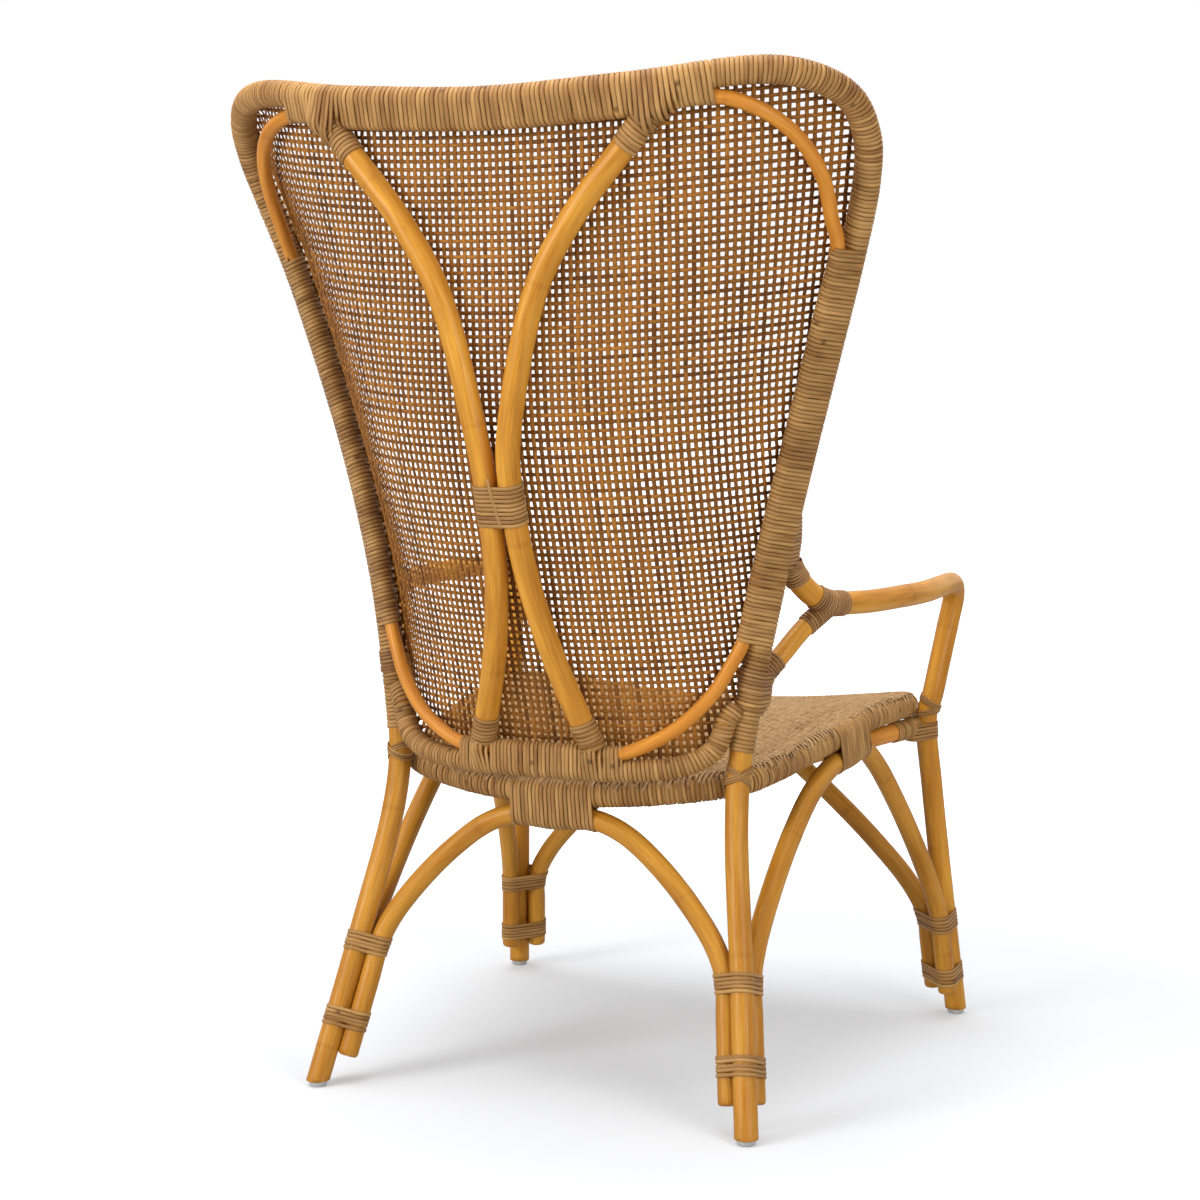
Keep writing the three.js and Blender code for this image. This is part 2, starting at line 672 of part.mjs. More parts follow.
// Side rail from the front leg to the back of the ring, below the deck
const sideRailHeight = FRONT_LASH.height - (FRONT_LASH.length + RAIL_LASH.length) / 2 - RAIL_LASH.gap;
const railStart = pointAtHeight(frontLegCurve, sideRailHeight).add(vec(...SIDE_RAIL_INSET, 0));
const ringRear = ringCurve.getPointAt(where(ringCurve, (point) => point.x, SIDE_RAIL_REAR));
const sideRail = pole(new THREE.LineCurve3(railStart, ringRear), SIDE_RAIL, 1);

// Wraps

// Post wrap: round the post and, along the side, the hoop, up to the top rail's bundle
const rimAt = (height) => atHeight(rim, height);
const topBundleShare = crestShare(TOP_BUNDLE_HALF);
const postWrapFrom = rimAt(REAR_LASH.height + REAR_LASH.length / 2 + POST_WRAP_GAP);
const postWrapTo = topBundleShare - 2 * jointShare;
const poleStations = [
  ...evenly(legFrom, shoulderShare, LEG_STEPS),
  ...evenly(railFrom, 1 - railFrom, TOP_RAIL_STEPS).slice(1),
];
const stationsBetween = (from, to) => [
  from,
  ...poleStations.filter((share) => share > from + jointShare && share < to - jointShare),
  to,
];
const postWrap = sleeve(
  rim,
  stationsWith(
    stationsBetween(postWrapFrom, postWrapTo), [sideBundle.from], [sideBundle.to], RIM_LENGTH),
  BACKWARD,
  [{ member: rimPole }, { member: innerHoop, ...sideBundle }],
);
const topRailWrap = sleeve(
  rim, stationsBetween(topBundleShare, 1 - topBundleShare), BACKWARD,
  [{ member: rimPole }, { member: innerHoop }]);

const bottomBundle = {
  from: acrossTo(bottomRail.curve, BOTTOM_BUNDLE_HALF),
  to: 1 - acrossTo(bottomRail.curve, BOTTOM_BUNDLE_HALF),
};
const bottomRailWrap = sleeve(
  bottomRail.curve,
  stationsWith(
    evenly(0, 1, bottomRail.steps), [bottomBundle.from], [bottomBundle.to], bottomRail.curve.getLength()),
  BACKWARD,
  [{ member: bottomRail }, { member: innerHoop, ...bottomBundle }],
);

// A short sleeve on a path, centred on a share of it
function shortSleeve(path, middle, length, reference, members, thickness = WRAP) {
  const half = length / 2 / path.getLength();
  const held = members.map((member) => ({ member }));
  return sleeve(path, evenly(middle - half, middle + half, 2), reference, held, thickness);
}

// Ties that go over the post's wrap
const armTie = shortSleeve(
  rim, rimAt(ARM_TIE.height), ARM_TIE.length, BACKWARD, [wrapped(rimPole), wrapped(innerHoop), frontLeg]);
const braceTie = shortSleeve(
  rim, rimAt(braceTieHeight), BRACE_TIE.length, BACKWARD, [wrapped(rimPole), armBrace]);
const rearLash = shortSleeve(
  post, atHeight(post, REAR_LASH.height), REAR_LASH.length, BACKWARD, [rearLeg], LASH);
const frontLash = shortSleeve(
  frontLegCurve, atHeight(frontLegCurve, FRONT_LASH.height), FRONT_LASH.length, BACKWARD, [frontLeg], LASH);
const railLash = shortSleeve(
  frontLegCurve, atHeight(frontLegCurve, sideRailHeight), RAIL_LASH.length, BACKWARD, [frontLeg], LASH);
const armJointShare = where(arm, (point) => point.y, BRACE_TOP);
const armJoint = shortSleeve(arm, armJointShare, ARM_JOINT.length, UP, [frontLeg]);
const branchShare = ARM_JOINT.branch / armBrace.curve.getLength();
const armJointBranch = sleeve(armBrace.curve, evenly(1 - branchShare, 1, 2), UP, [{ member: armBrace }]);
const spineLength = spine.curve.getLength();
const spineTopWrap = sleeve(
  spine.curve, evenly(1 - SPINE_WRAP_TOP / spineLength, 1, 2), BACKWARD, [{ member: spine }]);
const spineFootWrap = sleeve(
  spine.curve, evenly(0, SPINE_WRAP_FOOT / spineLength, 2), BACKWARD, [{ member: spine }]);

function archBand(share, length, member) {
  const half = length / 2 / RING_LENGTH;
  const path = new Stretch(ringCurve, share - half, share + half);
  return sleeve(path, evenly(0, 1, 3), UP, [{ member: wrapped(seatRing) }, { member }]);
}

// Deck: a thin dished panel that lies on the wrapped ring
function seatDeck() {
  const lift = wrappedRadius(SEAT_RING) + DECK_GAP;
  const outline = ringCurve.getSpacedPoints(RING_STEPS / 2).slice(1).reverse();
  const middle = (SEAT_BACK + SEAT_FRONT) / 2;
  const rings = [];
  const layer = (size, height) => outline.map((point) => {
    const x = point.x * size;
    const y = middle + (point.y - middle) * size;
    return vec(x, y, seatHeight(x, y) + height);
  });
  for (const size of DECK_RINGS) rings.push(layer(size, lift));
  for (const size of DECK_RINGS.slice().reverse()) rings.push(layer(size, lift + DECK_THICKNESS));
  return loft(rings);
}

// Web: an open net between the rim and the bottom rail, in front of the spines
function backWeb() {
  const offset = wrappedRadius(POLE) + FIT + WEB_THICKNESS / 2;
  const cornerLow = atHeight(rim, railEnd - BOTTOM_RAIL);
  const cornerHigh = atHeight(rim, BACK_TOP - KNUCKLE.drop);
  const side = smooth(evenly(cornerLow, cornerHigh, 8).map((share) => inside(rim, share, WEB_INSET)));
  const top = smooth(evenly(cornerHigh, 1 - cornerHigh, 8).map((share) => inside(rim, share, WEB_INSET)));
  const low = side.getPoint(0);
  const bottomMiddle = [1, 0, -1].map((part) => inside(
    bottomRail.curve, acrossTo(bottomRail.curve, part * BOTTOM_BUNDLE_HALF), WEB_INSET, -1));
  const bottom = smooth([low, ...bottomMiddle, mirrored(low)]);
  const patch = (u, v) => {
    const left = side.getPointAt(v);
    const right = mirrored(left);
    const sides = left.clone().lerp(right, u);
    const ends = bottom.getPointAt(u).lerp(top.getPointAt(u), v);
    const corners = low.clone().lerp(mirrored(low), u)
      .lerp(top.getPointAt(0).lerp(top.getPointAt(1), u), v);
    return sides.add(ends).sub(corners);
  };
  const lines = (count, span) => {
    const half = WEB_BAR / span / 2;
    return Array.from({ length: 2 * count + 2 }, (_, i) => {
      const centre = THREE.MathUtils.lerp(half, 1 - half, Math.floor(i / 2) / count);
      return centre + (i % 2 === 0 ? -half : half);
    });
  };
  const across = lines(WEB_COLUMNS, bottom.getLength());
  const upward = lines(WEB_ROWS, side.getLength());
  const skin = (depth) => upward.map((v) => across.map((u) => {
    const flat = patch(u, v);
    const point = onBack(flat.x, flat.z);
    return point.addScaledVector(backNormal(point), depth - offset);
  }));
  return netBetween(skin(-WEB_THICKNESS / 2), skin(WEB_THICKNESS / 2));
}

// Two skins with a square gap wherever both line counts are odd, walled all round
function netBetween(front, rear) {
  const rows = front.length;
  const columns = front[0].length;
  const points = [...front.flat(), ...rear.flat()];
  const at = (row, column, layer) => layer * rows * columns + row * columns + column;
  const solid = (row, column) => row >= 0 && column >= 0 && row < rows - 1 && column < columns - 1
    && !(row % 2 === 1 && column % 2 === 1);
  const index = [];
  const quad = (a, b, c, d) => index.push(a, b, c, a, c, d);
  const wall = (r0, c0, r1, c1) => quad(at(r0, c0, 0), at(r1, c1, 0), at(r1, c1, 1), at(r0, c0, 1));
  for (let r = 0; r < rows - 1; r += 1) {
    for (let c = 0; c < columns - 1; c += 1) {
      if (!solid(r, c)) continue;
      quad(at(r, c, 0), at(r + 1, c, 0), at(r + 1, c + 1, 0), at(r, c + 1, 0));
      quad(at(r, c, 1), at(r, c + 1, 1), at(r + 1, c + 1, 1), at(r + 1, c, 1));
      if (!solid(r - 1, c)) wall(r, c, r, c + 1);
      if (!solid(r + 1, c)) wall(r + 1, c + 1, r + 1, c);
      if (!solid(r, c - 1)) wall(r + 1, c, r, c);
      if (!solid(r, c + 1)) wall(r, c + 1, r + 1, c + 1);
    }
  }
  const geometry = new THREE.BufferGeometry().setFromPoints(points);
  geometry.setIndex(index);
  return geometry;
}

// A plastic glide under a leg
function glide(legCurve) {
  const foot = pointAtHeight(legCurve, GLIDE_HEIGHT);
  const top = GLIDE_HEIGHT - FIT;
  const profile = [[0, 0], [GLIDE_BOTTOM / 2, 0], [GLIDE_TOP / 2, top], [0, top]];
  const turned = new THREE.LatheGeometry(profile.map((place) => new THREE.Vector2(...place)), GLIDE_SIDES);
  return turned.rotateX(Math.PI / 2).translate(foot.x, foot.y, 0);
}

// A leg ends flat on its glide
function standing(geometry) {
  const size = 4 * REAR_FOOT_HALF_SPREAD;
  const floor = new THREE.BoxGeometry(size, 2 * size, size).translate(0, 0, GLIDE_HEIGHT - size / 2);
  return cut(geometry, floor);
}

// Scene

const chair = new THREE.Group();
const rightHalf = new THREE.Group();
rightHalf.scale.x = -1;
chair.add(rightHalf);

function place(group, name, geometry, finish) {
  const mesh = new THREE.Mesh(geometry, new THREE.MeshStandardMaterial(finish));
  mesh.name = name;
  group.add(mesh);
}

const single = (name, geometry, finish) => place(chair, name, geometry, finish);

function pair(name, geometry, finish) {
  place(chair, `${name}_left`, geometry, finish);
  place(rightHalf, `${name}_right`, geometry.clone(), finish);
}

const topBundle = envelope(topRailWrap);
const railBundle = envelope(bottomRailWrap);
const ringSpace = envelope(ringWrap);

pair('rear_leg', standing(bar(rearLeg)), RATTAN);
single('top_rail', bar(topRail), RATTAN);
single('inner_hoop', bar(innerHoop), RATTAN);
single('bottom_rail', bar(bottomRail), RATTAN);
pair('spine', cut(bar(spine), topBundle, railBundle), RATTAN);
single('seat_ring', bar(seatRing), RATTAN);
pair('side_rail', cut(bar(sideRail), bore(frontLeg), ringSpace), RATTAN);
pair('front_leg', standing(bar(frontLeg)), RATTAN);
pair('arm_brace', cut(bar(armBrace), bore(frontLeg)), RATTAN);
single('rear_arch', bar(rearArch), RATTAN);
single('front_arch', bar(frontArch), RATTAN);
pair('side_arch', bar(sideArch), RATTAN);

single('back_web', backWeb(), DARK_CANE);

pair('post_wrap', cut(hull(postWrap), bore(innerHoop), bore(rearLeg)), CANE);
single('top_rail_wrap', cut(hull(topRailWrap), bore(innerHoop)), CANE);
single('bottom_rail_wrap', cut(hull(bottomRailWrap), bore(innerHoop), bore(bottomRail)), CANE);
single('seat_ring_wrap', hull(ringWrap), CANE);

pair('arm_post_wrap', cut(hull(armTie), bore(frontLeg)), DARK_CANE);
pair('brace_wrap', cut(hull(braceTie), bore(armBrace)), CANE);
const armJointSkin = join(envelope(armJoint, 0), envelope(armJointBranch, 0));
pair('arm_joint_wrap', cut(armJointSkin, bore(frontLeg), bore(armBrace)), CANE);
pair('rear_leg_lash', cut(hull(rearLash), ringSpace, bore(rearLeg)), CANE);
pair('front_leg_lash', cut(hull(frontLash), ringSpace, bore(frontLeg)), CANE);
pair('rail_lash', cut(hull(railLash), bore(frontLeg), bore(sideRail)), CANE);
pair('spine_top_wrap', cut(hull(spineTopWrap), topBundle), CANE);
pair('spine_foot_wrap', cut(hull(spineFootWrap), railBundle), CANE);

const waistPath = new THREE.LineCurve3(
  ...[-POLE, POLE].map((rise) => pointAtHeight(spine.curve, WAIST_HEIGHT + rise).setX(0)));
const waistStrip = winding('waist_binding', waistPath, 0.5, BACKWARD, [spine, spineTwin], WAIST_TURNS);
single('waist_binding', waistStrip, CANE);

const bands = {
  rear: archBand(0, BAND_LENGTH, rearArch),
  front: archBand(0.5, BAND_LENGTH, frontArch),
  side: archBand(ringShareAtSide, SIDE_BAND.length, sideArch),
};
single('rear_arch_band', cut(hull(bands.rear), bore(rearArch)), CANE);
single('front_arch_band', cut(hull(bands.front), bore(frontArch)), CANE);
pair('side_arch_band', cut(hull(bands.side), bore(sideArch)), CANE);
const bandSpaces = Object.values(bands).map((band) => envelope(band));
const otherSide = envelope(bands.side).scale(-1, 1, 1);
otherSide.setIndex([...otherSide.getIndex().array].reverse());
single('seat_deck', cut(seatDeck(), ...bandSpaces, otherSide), CANE);

function legBindings(legName, leg, arches, heights) {
  for (const [level, height] of Object.entries(heights)) {
    const name = `${legName}_binding_${level}`;
    const middle = atHeight(leg.curve, height);
    pair(name, winding(name, leg.curve, middle, BACKWARD, [leg, ...arches], BINDING_TURNS), CANE);
  }
}
legBindings('rear_leg', rearLeg, [rearArch, sideArch], REAR_BINDINGS);
legBindings('front_leg', frontLeg, [frontArch, sideArch], FRONT_BINDINGS);

pair('rear_foot_glide', glide(rim), PLASTIC);
pair('front_foot_glide', glide(frontLegCurve), PLASTIC);

// The origin is on the floor, below the middle of the chair
chair.updateMatrixWorld(true);
const middle = new THREE.Box3().setFromObject(chair, true).getCenter(vec(0, 0, 0));
chair.position.set(-middle.x, -middle.y, 0);

export default chair;
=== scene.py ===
import math

import bmesh
import bpy
import numpy as np
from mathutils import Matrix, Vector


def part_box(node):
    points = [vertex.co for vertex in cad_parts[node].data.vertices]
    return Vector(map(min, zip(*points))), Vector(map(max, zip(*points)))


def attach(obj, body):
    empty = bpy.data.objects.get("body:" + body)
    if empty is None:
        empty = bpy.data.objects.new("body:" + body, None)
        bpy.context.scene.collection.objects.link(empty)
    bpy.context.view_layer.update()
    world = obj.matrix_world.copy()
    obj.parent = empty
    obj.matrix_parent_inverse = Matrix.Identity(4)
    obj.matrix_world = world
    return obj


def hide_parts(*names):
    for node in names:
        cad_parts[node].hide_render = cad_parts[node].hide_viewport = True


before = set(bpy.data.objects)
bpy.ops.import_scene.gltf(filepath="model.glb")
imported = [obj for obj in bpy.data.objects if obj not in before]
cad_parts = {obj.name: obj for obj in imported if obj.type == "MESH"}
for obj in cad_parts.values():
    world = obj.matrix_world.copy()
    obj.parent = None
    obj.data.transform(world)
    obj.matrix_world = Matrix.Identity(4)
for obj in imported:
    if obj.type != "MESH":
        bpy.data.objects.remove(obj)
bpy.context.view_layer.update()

bl_info = {
    "name": "Rattan Peacock Chair",
    "version": (1, 0, 0),
    "blender": (4, 5, 0),
    "location": "View3D > Sidebar > Chair",
    "description": "Dresses the frame of a rattan peacock chair with poles, wound cane and woven panels",
    "category": "Object",
}

# Lengths are in millimetres from the rear feet until a mesh is made. The add-on's own sizes, the lamps and
# the floor are in metres.
MM = 0.001
BODY = "root"
LAY = "lay"
UP = np.array((0.0, 0.0, 1.0))
BACKWARD = np.array((0.0, 1.0, 0.0))
MIRROR = np.array((-1.0, 1.0, 1.0))
SIDES = (("left", np.ones(3)), ("right", MIRROR))

# Back: a curved surface given at five equal levels between its base and its top
BACK_BASE = 390
BACK_TOP = 1150
BACK_HALF_WIDTHS = (216.6, 245, 291, 347, 404)
POST_DEPTHS = (-111, -125, -122, -100, -60)
MIDDLE_DEPTHS = (-42, 14, 70, 84, 93)
BACK_ROUNDNESS = (2.5, 3.75)

# Rim: the rear leg as places in space, and the rest as places across and up the back
REAR_LEG = ((271, 0, 0), (243, -55, 170), (219, -98, 320))
POST_HEIGHTS = (390, 485, 580, 675, 770, 865, 960)
RIM_CORNER = ((371, 1040), (378, 1085), (368, 1123), (318, 1146), (164, 1131))
RIM_MIDDLE = 1123
SHOULDER_HEIGHT = 1085

# Inner hoop and bottom rail
SIDE_BUNDLE = (535, 970)
TOP_BUNDLE_HALF = 250
BOTTOM_BUNDLE_HALF = 100
LOWER_BOW = ((157, 440), (195, 480), (213, 514))
UPPER_BOW = ((338.8, 1000), (338.5, 1040), (323.7, 1080), (294, 1107))
RAIL_HEIGHT = 392
RAIL_TURN = ((162, 398), (190, 412))
RAIL_BESIDE = ((462, 14), (445, 24), (425, 27))
RAIL_END = 456

# Spines
WAIST_HEIGHT = 695
SPINE_END = np.array((17.0, 0.0, 12.0))
SPINE_LOWER = ((69, 418), (37, 520), (20, 605))
SPINE_UPPER = ((19, 765), (57, 920), (103, 1000), (161, 1070), (188, 1104))
SPINE_SPACE = 3
SPINE_WRAPS = {"top": 44, "foot": 34}
# Swellings of the top rail over a spine's end: distance from it, share of SPINE_END, radius, half length
SPINE_KNOBS = ((9, 1.0, 14.5, 46), (13, 0.35, 16.6, 32))
SPINE_FOOT_DROP = 7
SPINE_FOOT_KNOB = (15.2, 27)  # radius, and half length
WAIST_HALF = 23.5
WAIST_FILL = 0.93
WAIST_STRAND = ((4, 27), (2, 9), (-1, -9), (-4, -27))
STRAND_WIDTH = 4.2

# Seat
SEAT_BACK = -82
SEAT_FRONT = -605
SEAT_HEIGHTS = (356, 370, 389, 388)
SEAT_CURL = 0.00031
SEAT_REAR_SHOULDER = (110, -97)
SEAT_SIDE = ((222, -185), (232, -240), (249, -340), (258, -430), (265, -520))
SEAT_CORNER = ((245, -594), (212, -603), (110, -605))

# Side rails, and the lashings of the legs
SIDE_RAIL_HEIGHT = 384
SIDE_RAIL_REAR = 136
SIDE_RAIL_INSET = (-9, 4, 0)
REAR_LASH_HEIGHT = 386
REAR_LASH_SIDE = (0.43, 0.9)
FRONT_LASH_HEIGHT = 412
FRONT_LASH_SIDE = (0.93, -0.36)
RAIL_LASH_HEIGHT = 381
RAIL_LASH_HALF = 11
RAIL_LASH_PITCH = 4.4
RAIL_KNOB = (14, 60)  # distance along the rail, and half length
RAIL_WRAP = (6, 58)  # start and stop along the rail
RAIL_WRAP_PITCH = 3.9
RING_SPAN = (0.0005, 0.9995)
LOOP_HALF = 4.5
LOOP_PITCH = 3.0
LOOP_CLEAR = 2.3
POST_WRAP_START = 414

# Front legs with the arms and their braces
FRONT_LEG = ((318.4, -633.7, 0), (295.6, -589.8, 300), (291, -576, 398), (298, -577, 424), (303, -586, 460),
             (311, -602, 520), (316, -605, 549), (320, -588, 565))
ARM = ((330, -500, 571), (333, -430, 571), (326, -360, 571), (304, -270, 571), (281, -206, 577),
       (266, -177, 597))
ARM_END = ((625, 0), (652, -3.5), (690, -15))
ARM_START = 570
ARM_TAPER = (604, 700)
ARM_TIP = 0.15
ARM_KNOB = (0.19, 34)  # share of the pole's diameter, and half length
ARM_HELD = (622, 661)
ARM_WRAP = 29
ARM_WRAP_RISE = 4
POST_FRONT = np.array((0.1, -1.0, 0.0))
BRACE_FOOT = 470
BRACE_KNOB = 46
BRACE_TIE_HEIGHT = 494
BRACE_TIE_HALF = 13
BRACE_TIE_PITCH = 4.3
BRACE_BELOW_TIE = 11
BRACE_WRAP = 20
BRACE_WRAP_RISE = 6
BRACE_RISE = ((248, -165, 520), (263, -190, 546))
BRACE_TOP = -220
ARM_JOINT = (40, 42)  # lengths of the ties on the arm and on the brace

# Arches below the seat, and the bindings of their ends
ARCH_END = 34
REAR_LEAVE = 165
FRONT_LEAVE = 131
BAND_LENGTH = 100
SIDE_BAND = -367
SIDE_BAND_LENGTH = 80
ARCH_TILT = 0.18
# Bends of the arches: the pull along the leg, the pull along the ring and the drop
REAR_BEND = (42, 56, 4)
FRONT_BEND = (50, 45, 22)
SIDE_REAR_BEND = (36, 86, 2)
SIDE_FRONT_BEND = (50, 44, 10)
REAR_BINDINGS = {"low": 80, "high": 165}
FRONT_BINDINGS = {"low": 60, "high": 131}
BINDING_TURNS = 5
BINDING_FILL = 0.92
BINDING_LOOSE = 1.5
BINDING_THIN = 0.8
TIE_THIN = 0.9

# Clearances of the solids
WRAP = 1.5
FIT = 0.35
SLACK = 0.6
BUNDLE_GAP = 0.9

# Glides
GLIDE_HEIGHT = 7
GLIDE_BEVEL = 0.9
GLIDE_AROUND = 40
GLIDE_SHARES = (0.42, 0.5)

# Net of the back and its strips
NET_COLUMNS = 105
NET_HALF = 441.0
NET_MARGIN = 50
NET_LEVEL = 760.0
NET_REACH = 350.0
NET_FAN = 0.1
NET_RISE = 0.11
NET_LOOSE = 0.17
NET_LOOSE_HEIGHT = 720.0
NET_LOOSE_HALF = 70.0
WEB_EASE = 14
WEB_DEPTHS = (10.0, 6.6)  # at the rim, and what the panel adds to it
WEB_FRINGE = (4, 6)
WEB_THICKNESS = 1.6
WEFT_SHARE = 0.87

# Strips of the seat and of its edge
DECK_HALF = 72
DECK_MARGIN = 20
DECK_GAP = 0.6
DECK_FRINGE = (3, 10)
DECK_SHARES = (0.9, 0.94)
DECK_THICKNESS = 1.3
EDGE_PITCH = 6.5
EDGE_STEPS = 9
EDGE_STARTS = (-65, -45)
EDGE_STOPS = (35, 80)
EDGE_SLANTS = (0.05, 0.16)
EDGE_WIDTHS = (3.4, 4.6)
EDGE_DIVE = 3

# Stage: each lamp has a name, a place, a target, a size and a power
CAMERA_PLACE = (-1234.0, 2492.0, 855.0)
CAMERA_TURN = (90 - 5.551, 0.0, 204.547)
CAMERA_LENS = 75.51
SENSOR = 36.0
LAMPS = (
    ("overhead", (0.2, 0.2, 3.0), (0, 0, 0.3), 2.4, 74),
    ("key", (1.9, 3.1, 1.7), (0, 0, 0.85), 1.6, 86),
    ("fill", (-2.7, 1.8, 1.4), (0, 0, 0.7), 1.8, 44),
)
SKY_LIGHT = (0.4, 1.0)
FLOOR_SIZE = 30.0
FLOOR_TINT = (0.57, 0.59, 0.615, 1)
FLOOR_FADE = (0.7, 1.7, 0.3, 1.0)


def length_prop(label, about, default):
    return bpy.props.FloatProperty(name=label, description=about, default=default, unit="LENGTH")


def colour_prop(label, about, default):
    return bpy.props.FloatVectorProperty(name=label, description=about, default=default, subtype="COLOR")


class ChairSizes(bpy.types.PropertyGroup):
    """Sizes of the poles, the wound cane and the weaves"""
    pole: length_prop("Pole", "Diameter of the legs, posts, arms and spines", 0.027)
    hoop: length_prop("Hoop", "Diameter of the hoop inside the back", 0.016)
    rail: length_prop("Bottom rail", "Diameter of the back's bottom rail", 0.022)
    arch: length_prop("Arch", "Diameter of the arches below the seat", 0.024)
    brace: length_prop("Brace", "Diameter of the arm's brace", 0.022)
    side_rail: length_prop("Side rail", "Diameter of the rail below the seat", 0.023)
    turn: length_prop("Turn", "Distance from one turn of wound cane to the next", 0.0047)
    top_turn: length_prop("Top turn", "Distance between the turns on the top rail", 0.0054)
    tie_turn: length_prop("Tie turn", "Distance between the turns of the arms' ties", 0.0037)
    cane: length_prop("Cane", "Thickness of the wound cane", 0.0015)
    web_across: length_prop("Web across", "Distance between the upright strips of the open back", 0.0083)
    web_up: length_prop("Web up", "Distance between the level strips of the open back", 0.0085)
    web_strip: length_prop("Web strip", "Width of an upright strip of the open back", 0.0050)
    deck_pitch: length_prop("Deck pitch", "Distance between the strips of the seat", 0.0040)


class ChairFinishes(bpy.types.PropertyGroup):
    """Colours of the poles, canes and glides"""
    pole_light: colour_prop("Pole light", "Pale streaks of the varnished poles", (0.70, 0.335, 0.04))
    pole_dark: colour_prop("Pole dark", "Deep streaks of the varnished poles", (0.46, 0.175, 0.013))
    hoop_light: colour_prop("Hoop light", "Pale streaks of the warmer hoop", (0.72, 0.30, 0.04))
    hoop_dark: colour_prop("Hoop dark", "Deep streaks of the warmer hoop", (0.50, 0.175, 0.016))
    cane_light: colour_prop("Cane light", "Pale turns of the wound cane", (0.51, 0.283, 0.094))
    cane_dark: colour_prop("Cane dark", "Deep turns of the wound cane", (0.25, 0.113, 0.032))
    tie_light: colour_prop("Tie light", "Pale turns of the arms' ties", (0.42, 0.225, 0.085))
    tie_dark: colour_prop("Tie dark", "Deep turns of the arms' ties", (0.23, 0.105, 0.034))
    web_light: colour_prop("Web light", "Pale strips of the open back", (0.40, 0.162, 0.028))
    web_dark: colour_prop("Web dark", "Deep strips of the open back", (0.15, 0.053, 0.010))
    deck_light: colour_prop("Seat light", "Pale strips of the seat", (0.55, 0.355, 0.185))
    deck_dark: colour_prop("Seat dark", "Deep strips of the seat", (0.335, 0.20, 0.094))
    glide: colour_prop("Glide", "Grey of the plastic glides", (0.42, 0.41, 0.39))


# Centre lines

def catmull(points, closed=False, fine=40):
    """Points of the centripetal curve through the given points."""
    given = np.asarray(points, float)
    if closed:
        padded = np.vstack([given[-1], given, given[:2]])
        spans = len(given)
    else:
        padded = np.vstack([2 * given[0] - given[1], given, 2 * given[-1] - given[-2]])
        spans = len(given) - 1
    weight = np.linspace(0, 1, fine, endpoint=False)[:, None]
    found = []
    for span in range(spans):
        p0, p1, p2, p3 = padded[span:span + 4]
        d0, d1, d2 = (math.sqrt(np.linalg.norm(b - a)) for a, b in ((p0, p1), (p1, p2), (p2, p3)))
        t1 = ((p1 - p0) / d0 - (p2 - p0) / (d0 + d1) + (p2 - p1) / d1) * d1
        t2 = ((p2 - p1) / d1 - (p3 - p1) / (d1 + d2) + (p3 - p2) / d2) * d1
        c2 = -3 * p1 + 3 * p2 - 2 * t1 - t2
        c3 = 2 * p1 - 2 * p2 + t1 + t2
        found.append(p1 + weight * (t1 + weight * (c2 + weight * c3)))
    found.append(padded[spans + 1][None])
    return np.vstack(found)


def unit(vectors):
    return vectors / np.linalg.norm(vectors, axis=-1, keepdims=True)


def run_of(points):
    """Distance along a row of points, at each of them."""
    return np.concatenate([[0], np.cumsum(np.linalg.norm(np.diff(points, axis=0), axis=1))])


class Line:
    """A centre line that can be read at shares of its length."""

    def __init__(self, points, closed=False, curved=True):
        self.points = catmull(points, closed) if curved else np.asarray(points, float)
        self.closed = closed
        self.reach = run_of(self.points)
        self.length = self.reach[-1]

    def at(self, share):
        share = np.asarray(share, float)
        along = (share % 1 if self.closed else share) * self.length
        return np.stack([np.interp(along, self.reach, self.points[:, axis]) for axis in range(3)], -1)

    def along(self, share):
        """Unit vectors along the line."""
        share = np.asarray(share, float)
        nudge = 1.5 / self.length
        ahead = share + nudge if self.closed else np.minimum(share + nudge, 1)
        behind = share - nudge if self.closed else np.maximum(share - nudge, 0)
        return unit(self.at(ahead) - self.at(behind))

    def where(self, axis, value):
        """The first share at which a coordinate has a value."""
        side = self.points[:, axis] - value
        at = np.nonzero(side[:-1] * side[1:] <= 0)[0][0]
        part = side[at] / (side[at] - side[at + 1])
        return (self.reach[at] + part * (self.reach[at + 1] - self.reach[at])) / self.length

    def height(self, value):
        return self.where(2, value)

    def heights(self, *values):
        return tuple(self.height(value) for value in values)

    def part(self, start, stop):
        count = max(3, int((stop - start) * self.length / 2.5))
        return Line(self.at(np.linspace(start, stop, count)), curved=False)

    def mirrored(self):
        return Line(self.points * MIRROR, self.closed, curved=False)


def smoothed(values, share):
    """Value of a smooth curve through equally spaced values, at a share of the way."""
    values = np.asarray(values, float)
    last = len(values) - 1
    place = np.clip(share, 0, 1) * last
    at = np.minimum(np.floor(place).astype(int), last)
    t = place - at
    p0, p1 = values[np.maximum(at - 1, 0)], values[at]
    p2, p3 = values[np.minimum(at + 1, last)], values[np.minimum(at + 2, last)]
    v0, v1 = (p2 - p0) / 2, (p3 - p1) / 2
    return ((2 * p1 - 2 * p2 + v0 + v1) * t + (-3 * p1 + 3 * p2 - 2 * v0 - v1)) * t * t + v0 * t + p1


def levelled(values, height):
    """Value of a smooth row of five levels at a height of the back."""
    return smoothed(values, (np.asarray(height, float) - BACK_BASE) / (BACK_TOP - BACK_BASE))


